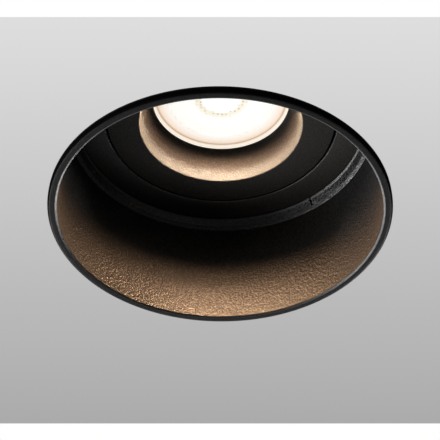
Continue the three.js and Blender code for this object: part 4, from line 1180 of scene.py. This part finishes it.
def on_soffit(column_px, row_px):
    """The point of the soffit's underside that a place in the picture shows."""
    across = (column_px - PICTURE / 2) / (PICTURE * CAMERA_FOCAL)
    up = (PICTURE / 2 - row_px) / (PICTURE * CAMERA_FOCAL)
    ray = facing @ Vector((across, up, -1))
    return place + ray * (-place.z / ray.z)


soffit = bmesh.new()
left, right = BOARD_COLUMNS
near, far = BOARD_ROWS
corners = [on_soffit(*spot) for spot in ((left, near), (left, far), (right, far), (right, near))]
soffit.faces.new([soffit.verts.new(corner) for corner in corners])
drawn_out(soffit, (0, 0, BOARD_TOP))
soffit = combined(soffit, column(CUT_OUT, -5, 5, RING_STEPS), "DIFFERENCE")


def board_paint():
    """Pale grey paint. The camera sees a grey with painted shade that darkens it towards the far
    side.
    """
    material, tree, shader, add, link = new_material("board_paint")
    told(shader, Base_Color=(0.6, 0.6, 0.6, 1), Roughness=0.8)
    places = add("ShaderNodeTexCoord")
    apart = add("ShaderNodeSeparateXYZ")
    link(places.outputs["Object"], apart.inputs["Vector"])
    along = ranged(tree, apart.outputs["Y"], *GREY_REACH)
    shade_greys = colours_along(tree, along, [(place, grey, grey, grey) for place, grey in BOARD_SHADE_GREYS])
    painted = []
    for row, test in zip(PAINTED_ROWS, ("GREATER_THAN", "LESS_THAN")):
        lean = on_soffit(PICTURE, row) - on_soffit(0, row)
        level = reckoned(tree, "MULTIPLY_ADD", apart.outputs["X"], -lean.y / lean.x,
                         apart.outputs["Y"])
        painted.append(reckoned(tree, test, level, on_soffit(PICTURE / 2, row).y))
    inside = reckoned(tree, "MULTIPLY", *painted)
    seen = add("ShaderNodeEmission")
    link(mixed(tree, inside, (1, 1, 1), shade_greys), seen.inputs["Color"])
    ray = add("ShaderNodeLightPath")
    shown = reckoned(tree, "MULTIPLY_ADD", ray.outputs["Is Glossy Ray"], MIRRORED_SHARE,
                     ray.outputs["Is Camera Ray"])
    either = add("ShaderNodeMixShader")
    link(shown, either.inputs["Fac"])
    link(shader.outputs["BSDF"], either.inputs[1])
    link(seen.outputs["Emission"], either.inputs[2])
    link(either.outputs["Shader"], tree.nodes["Material Output"].inputs["Surface"])
    return material


placed("soffit_board", soffit, board_paint(), None)

# ----------------------------------------
# Light: small soft boxes low on the left and beyond, which draw the edges of the lip and of the
# split ring, soft light from above for the back, and the lamp's own warm beam.


def new_light(name, kind, energy, spot, **settings):
    """A light at a place in millimetres."""
    data = bpy.data.lights.new(name, kind)
    data.energy = energy
    for label, value in settings.items():
        setattr(data, label, value)
    light = bpy.data.objects.new(name, data)
    light.location = Vector(spot) * MM
    in_scene(light)
    return light


for name, spot, aim_height, size, power in (
    ("left_box", (-552, 0, -431), 15, 260, 1.1),
    ("far_left_box", (-478, 276, -431), 15, 260, 1.6),
    ("far_low_box", (-342, 593, -146), 15, 260, 1.2),
    ("far_edge_box", (0, 685, -146), 15, 260, 0.3),
    ("below_box", (0, 296, -634), 15, 260, 0.5),
    ("edge_box", (330, 590, -110), 0, 260, 1.7),
    ("back_left", (-500, 300, 600), 60, 400, 3.6),
    ("back_right", (500, 400, 400), 60, 400, 2.2),
    ("back_near", (100, -600, 400), 60, 400, 2.2),
):
    box = new_light(name, "AREA", power, spot, size=size * MM)
    box.rotation_mode = "QUATERNION"
    box.rotation_quaternion = (Vector((0, 0, aim_height)) - Vector(spot)).to_track_quat("-Z", "Y")

bowl_only = bpy.data.collections.new("bowl_only")
bowl_only.objects.link(gimbal)


def lamp_light(name, spread, energy, colour, edge, source, receivers=None):
    """A spot inside the lamp on its axis: it tilts with the gimbal and stays unseen itself."""
    light = new_light(name, "SPOT", energy, (0, 0, LAMP_LIGHT_HEIGHT), color=colour,
                      spot_size=math.radians(spread), spot_blend=edge, shadow_soft_size=source * MM)
    light.visible_camera = False
    if receivers:
        light.light_linking.receiver_collection = receivers
    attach(light, "gimbal")


LAMP_LIGHT_HEIGHT = 52.8
lamp_light("lamp_beam", 116, 1.1, (1.0, 0.59, 0.33), 1.0, 2.5)
lamp_light("lamp_core", 104, 1.6, (1.0, 0.64, 0.38), 1.0, 2.5)
lamp_light("lamp_spill", 150, 0.36, (1.0, 0.62, 0.38), 0.35, 2.5, bowl_only)
lamp_light("lamp_rim", 133, 0.36, (1.0, 0.86, 0.65), 0.08, 1.5, bowl_only)

VOID_ANGLE = math.radians(6)  # the dark space above the board, seen through gaps by the camera
VOID_ROW = 150
SKY_RISE = (0.0, 0.15, 0.03, 0.4)
world = bpy.data.worlds.new("room")
bpy.context.scene.world = world
world.use_nodes = True
tree = world.node_tree
add, link = tree.nodes.new, tree.links.new
direction = add("ShaderNodeTexCoord").outputs["Generated"]
apart = add("ShaderNodeSeparateXYZ")
link(direction, apart.inputs["Vector"])
above = ranged(tree, apart.outputs["Z"], *SKY_RISE)
ray = add("ShaderNodeLightPath")
plain = told(tree.nodes["Background"], Color=(1, 1, 1, 1))
doubled = reckoned(tree, "MULTIPLY_ADD", ray.outputs["Is Glossy Ray"], above, above)
link(doubled, plain.inputs["Strength"])
void = add("ShaderNodeVectorMath")
void.operation = "DOT_PRODUCT"
void_rise = (PICTURE / 2 - VOID_ROW) / (PICTURE * CAMERA_FOCAL)
void.inputs[1].default_value = (facing @ Vector((0, void_rise, -1))).normalized()
link(direction, void.inputs[0])
white = add("ShaderNodeBackground")
outside = reckoned(tree, "LESS_THAN", void.outputs["Value"], math.cos(VOID_ANGLE))
link(outside, white.inputs["Color"])
either = add("ShaderNodeMixShader")
link(ray.outputs["Is Camera Ray"], either.inputs["Fac"])
link(plain.outputs["Background"], either.inputs[1])
link(white.outputs["Background"], either.inputs[2])
link(either.outputs["Shader"], tree.nodes["World Output"].inputs["Surface"])

bpy.context.scene.view_settings.view_transform = "Standard"
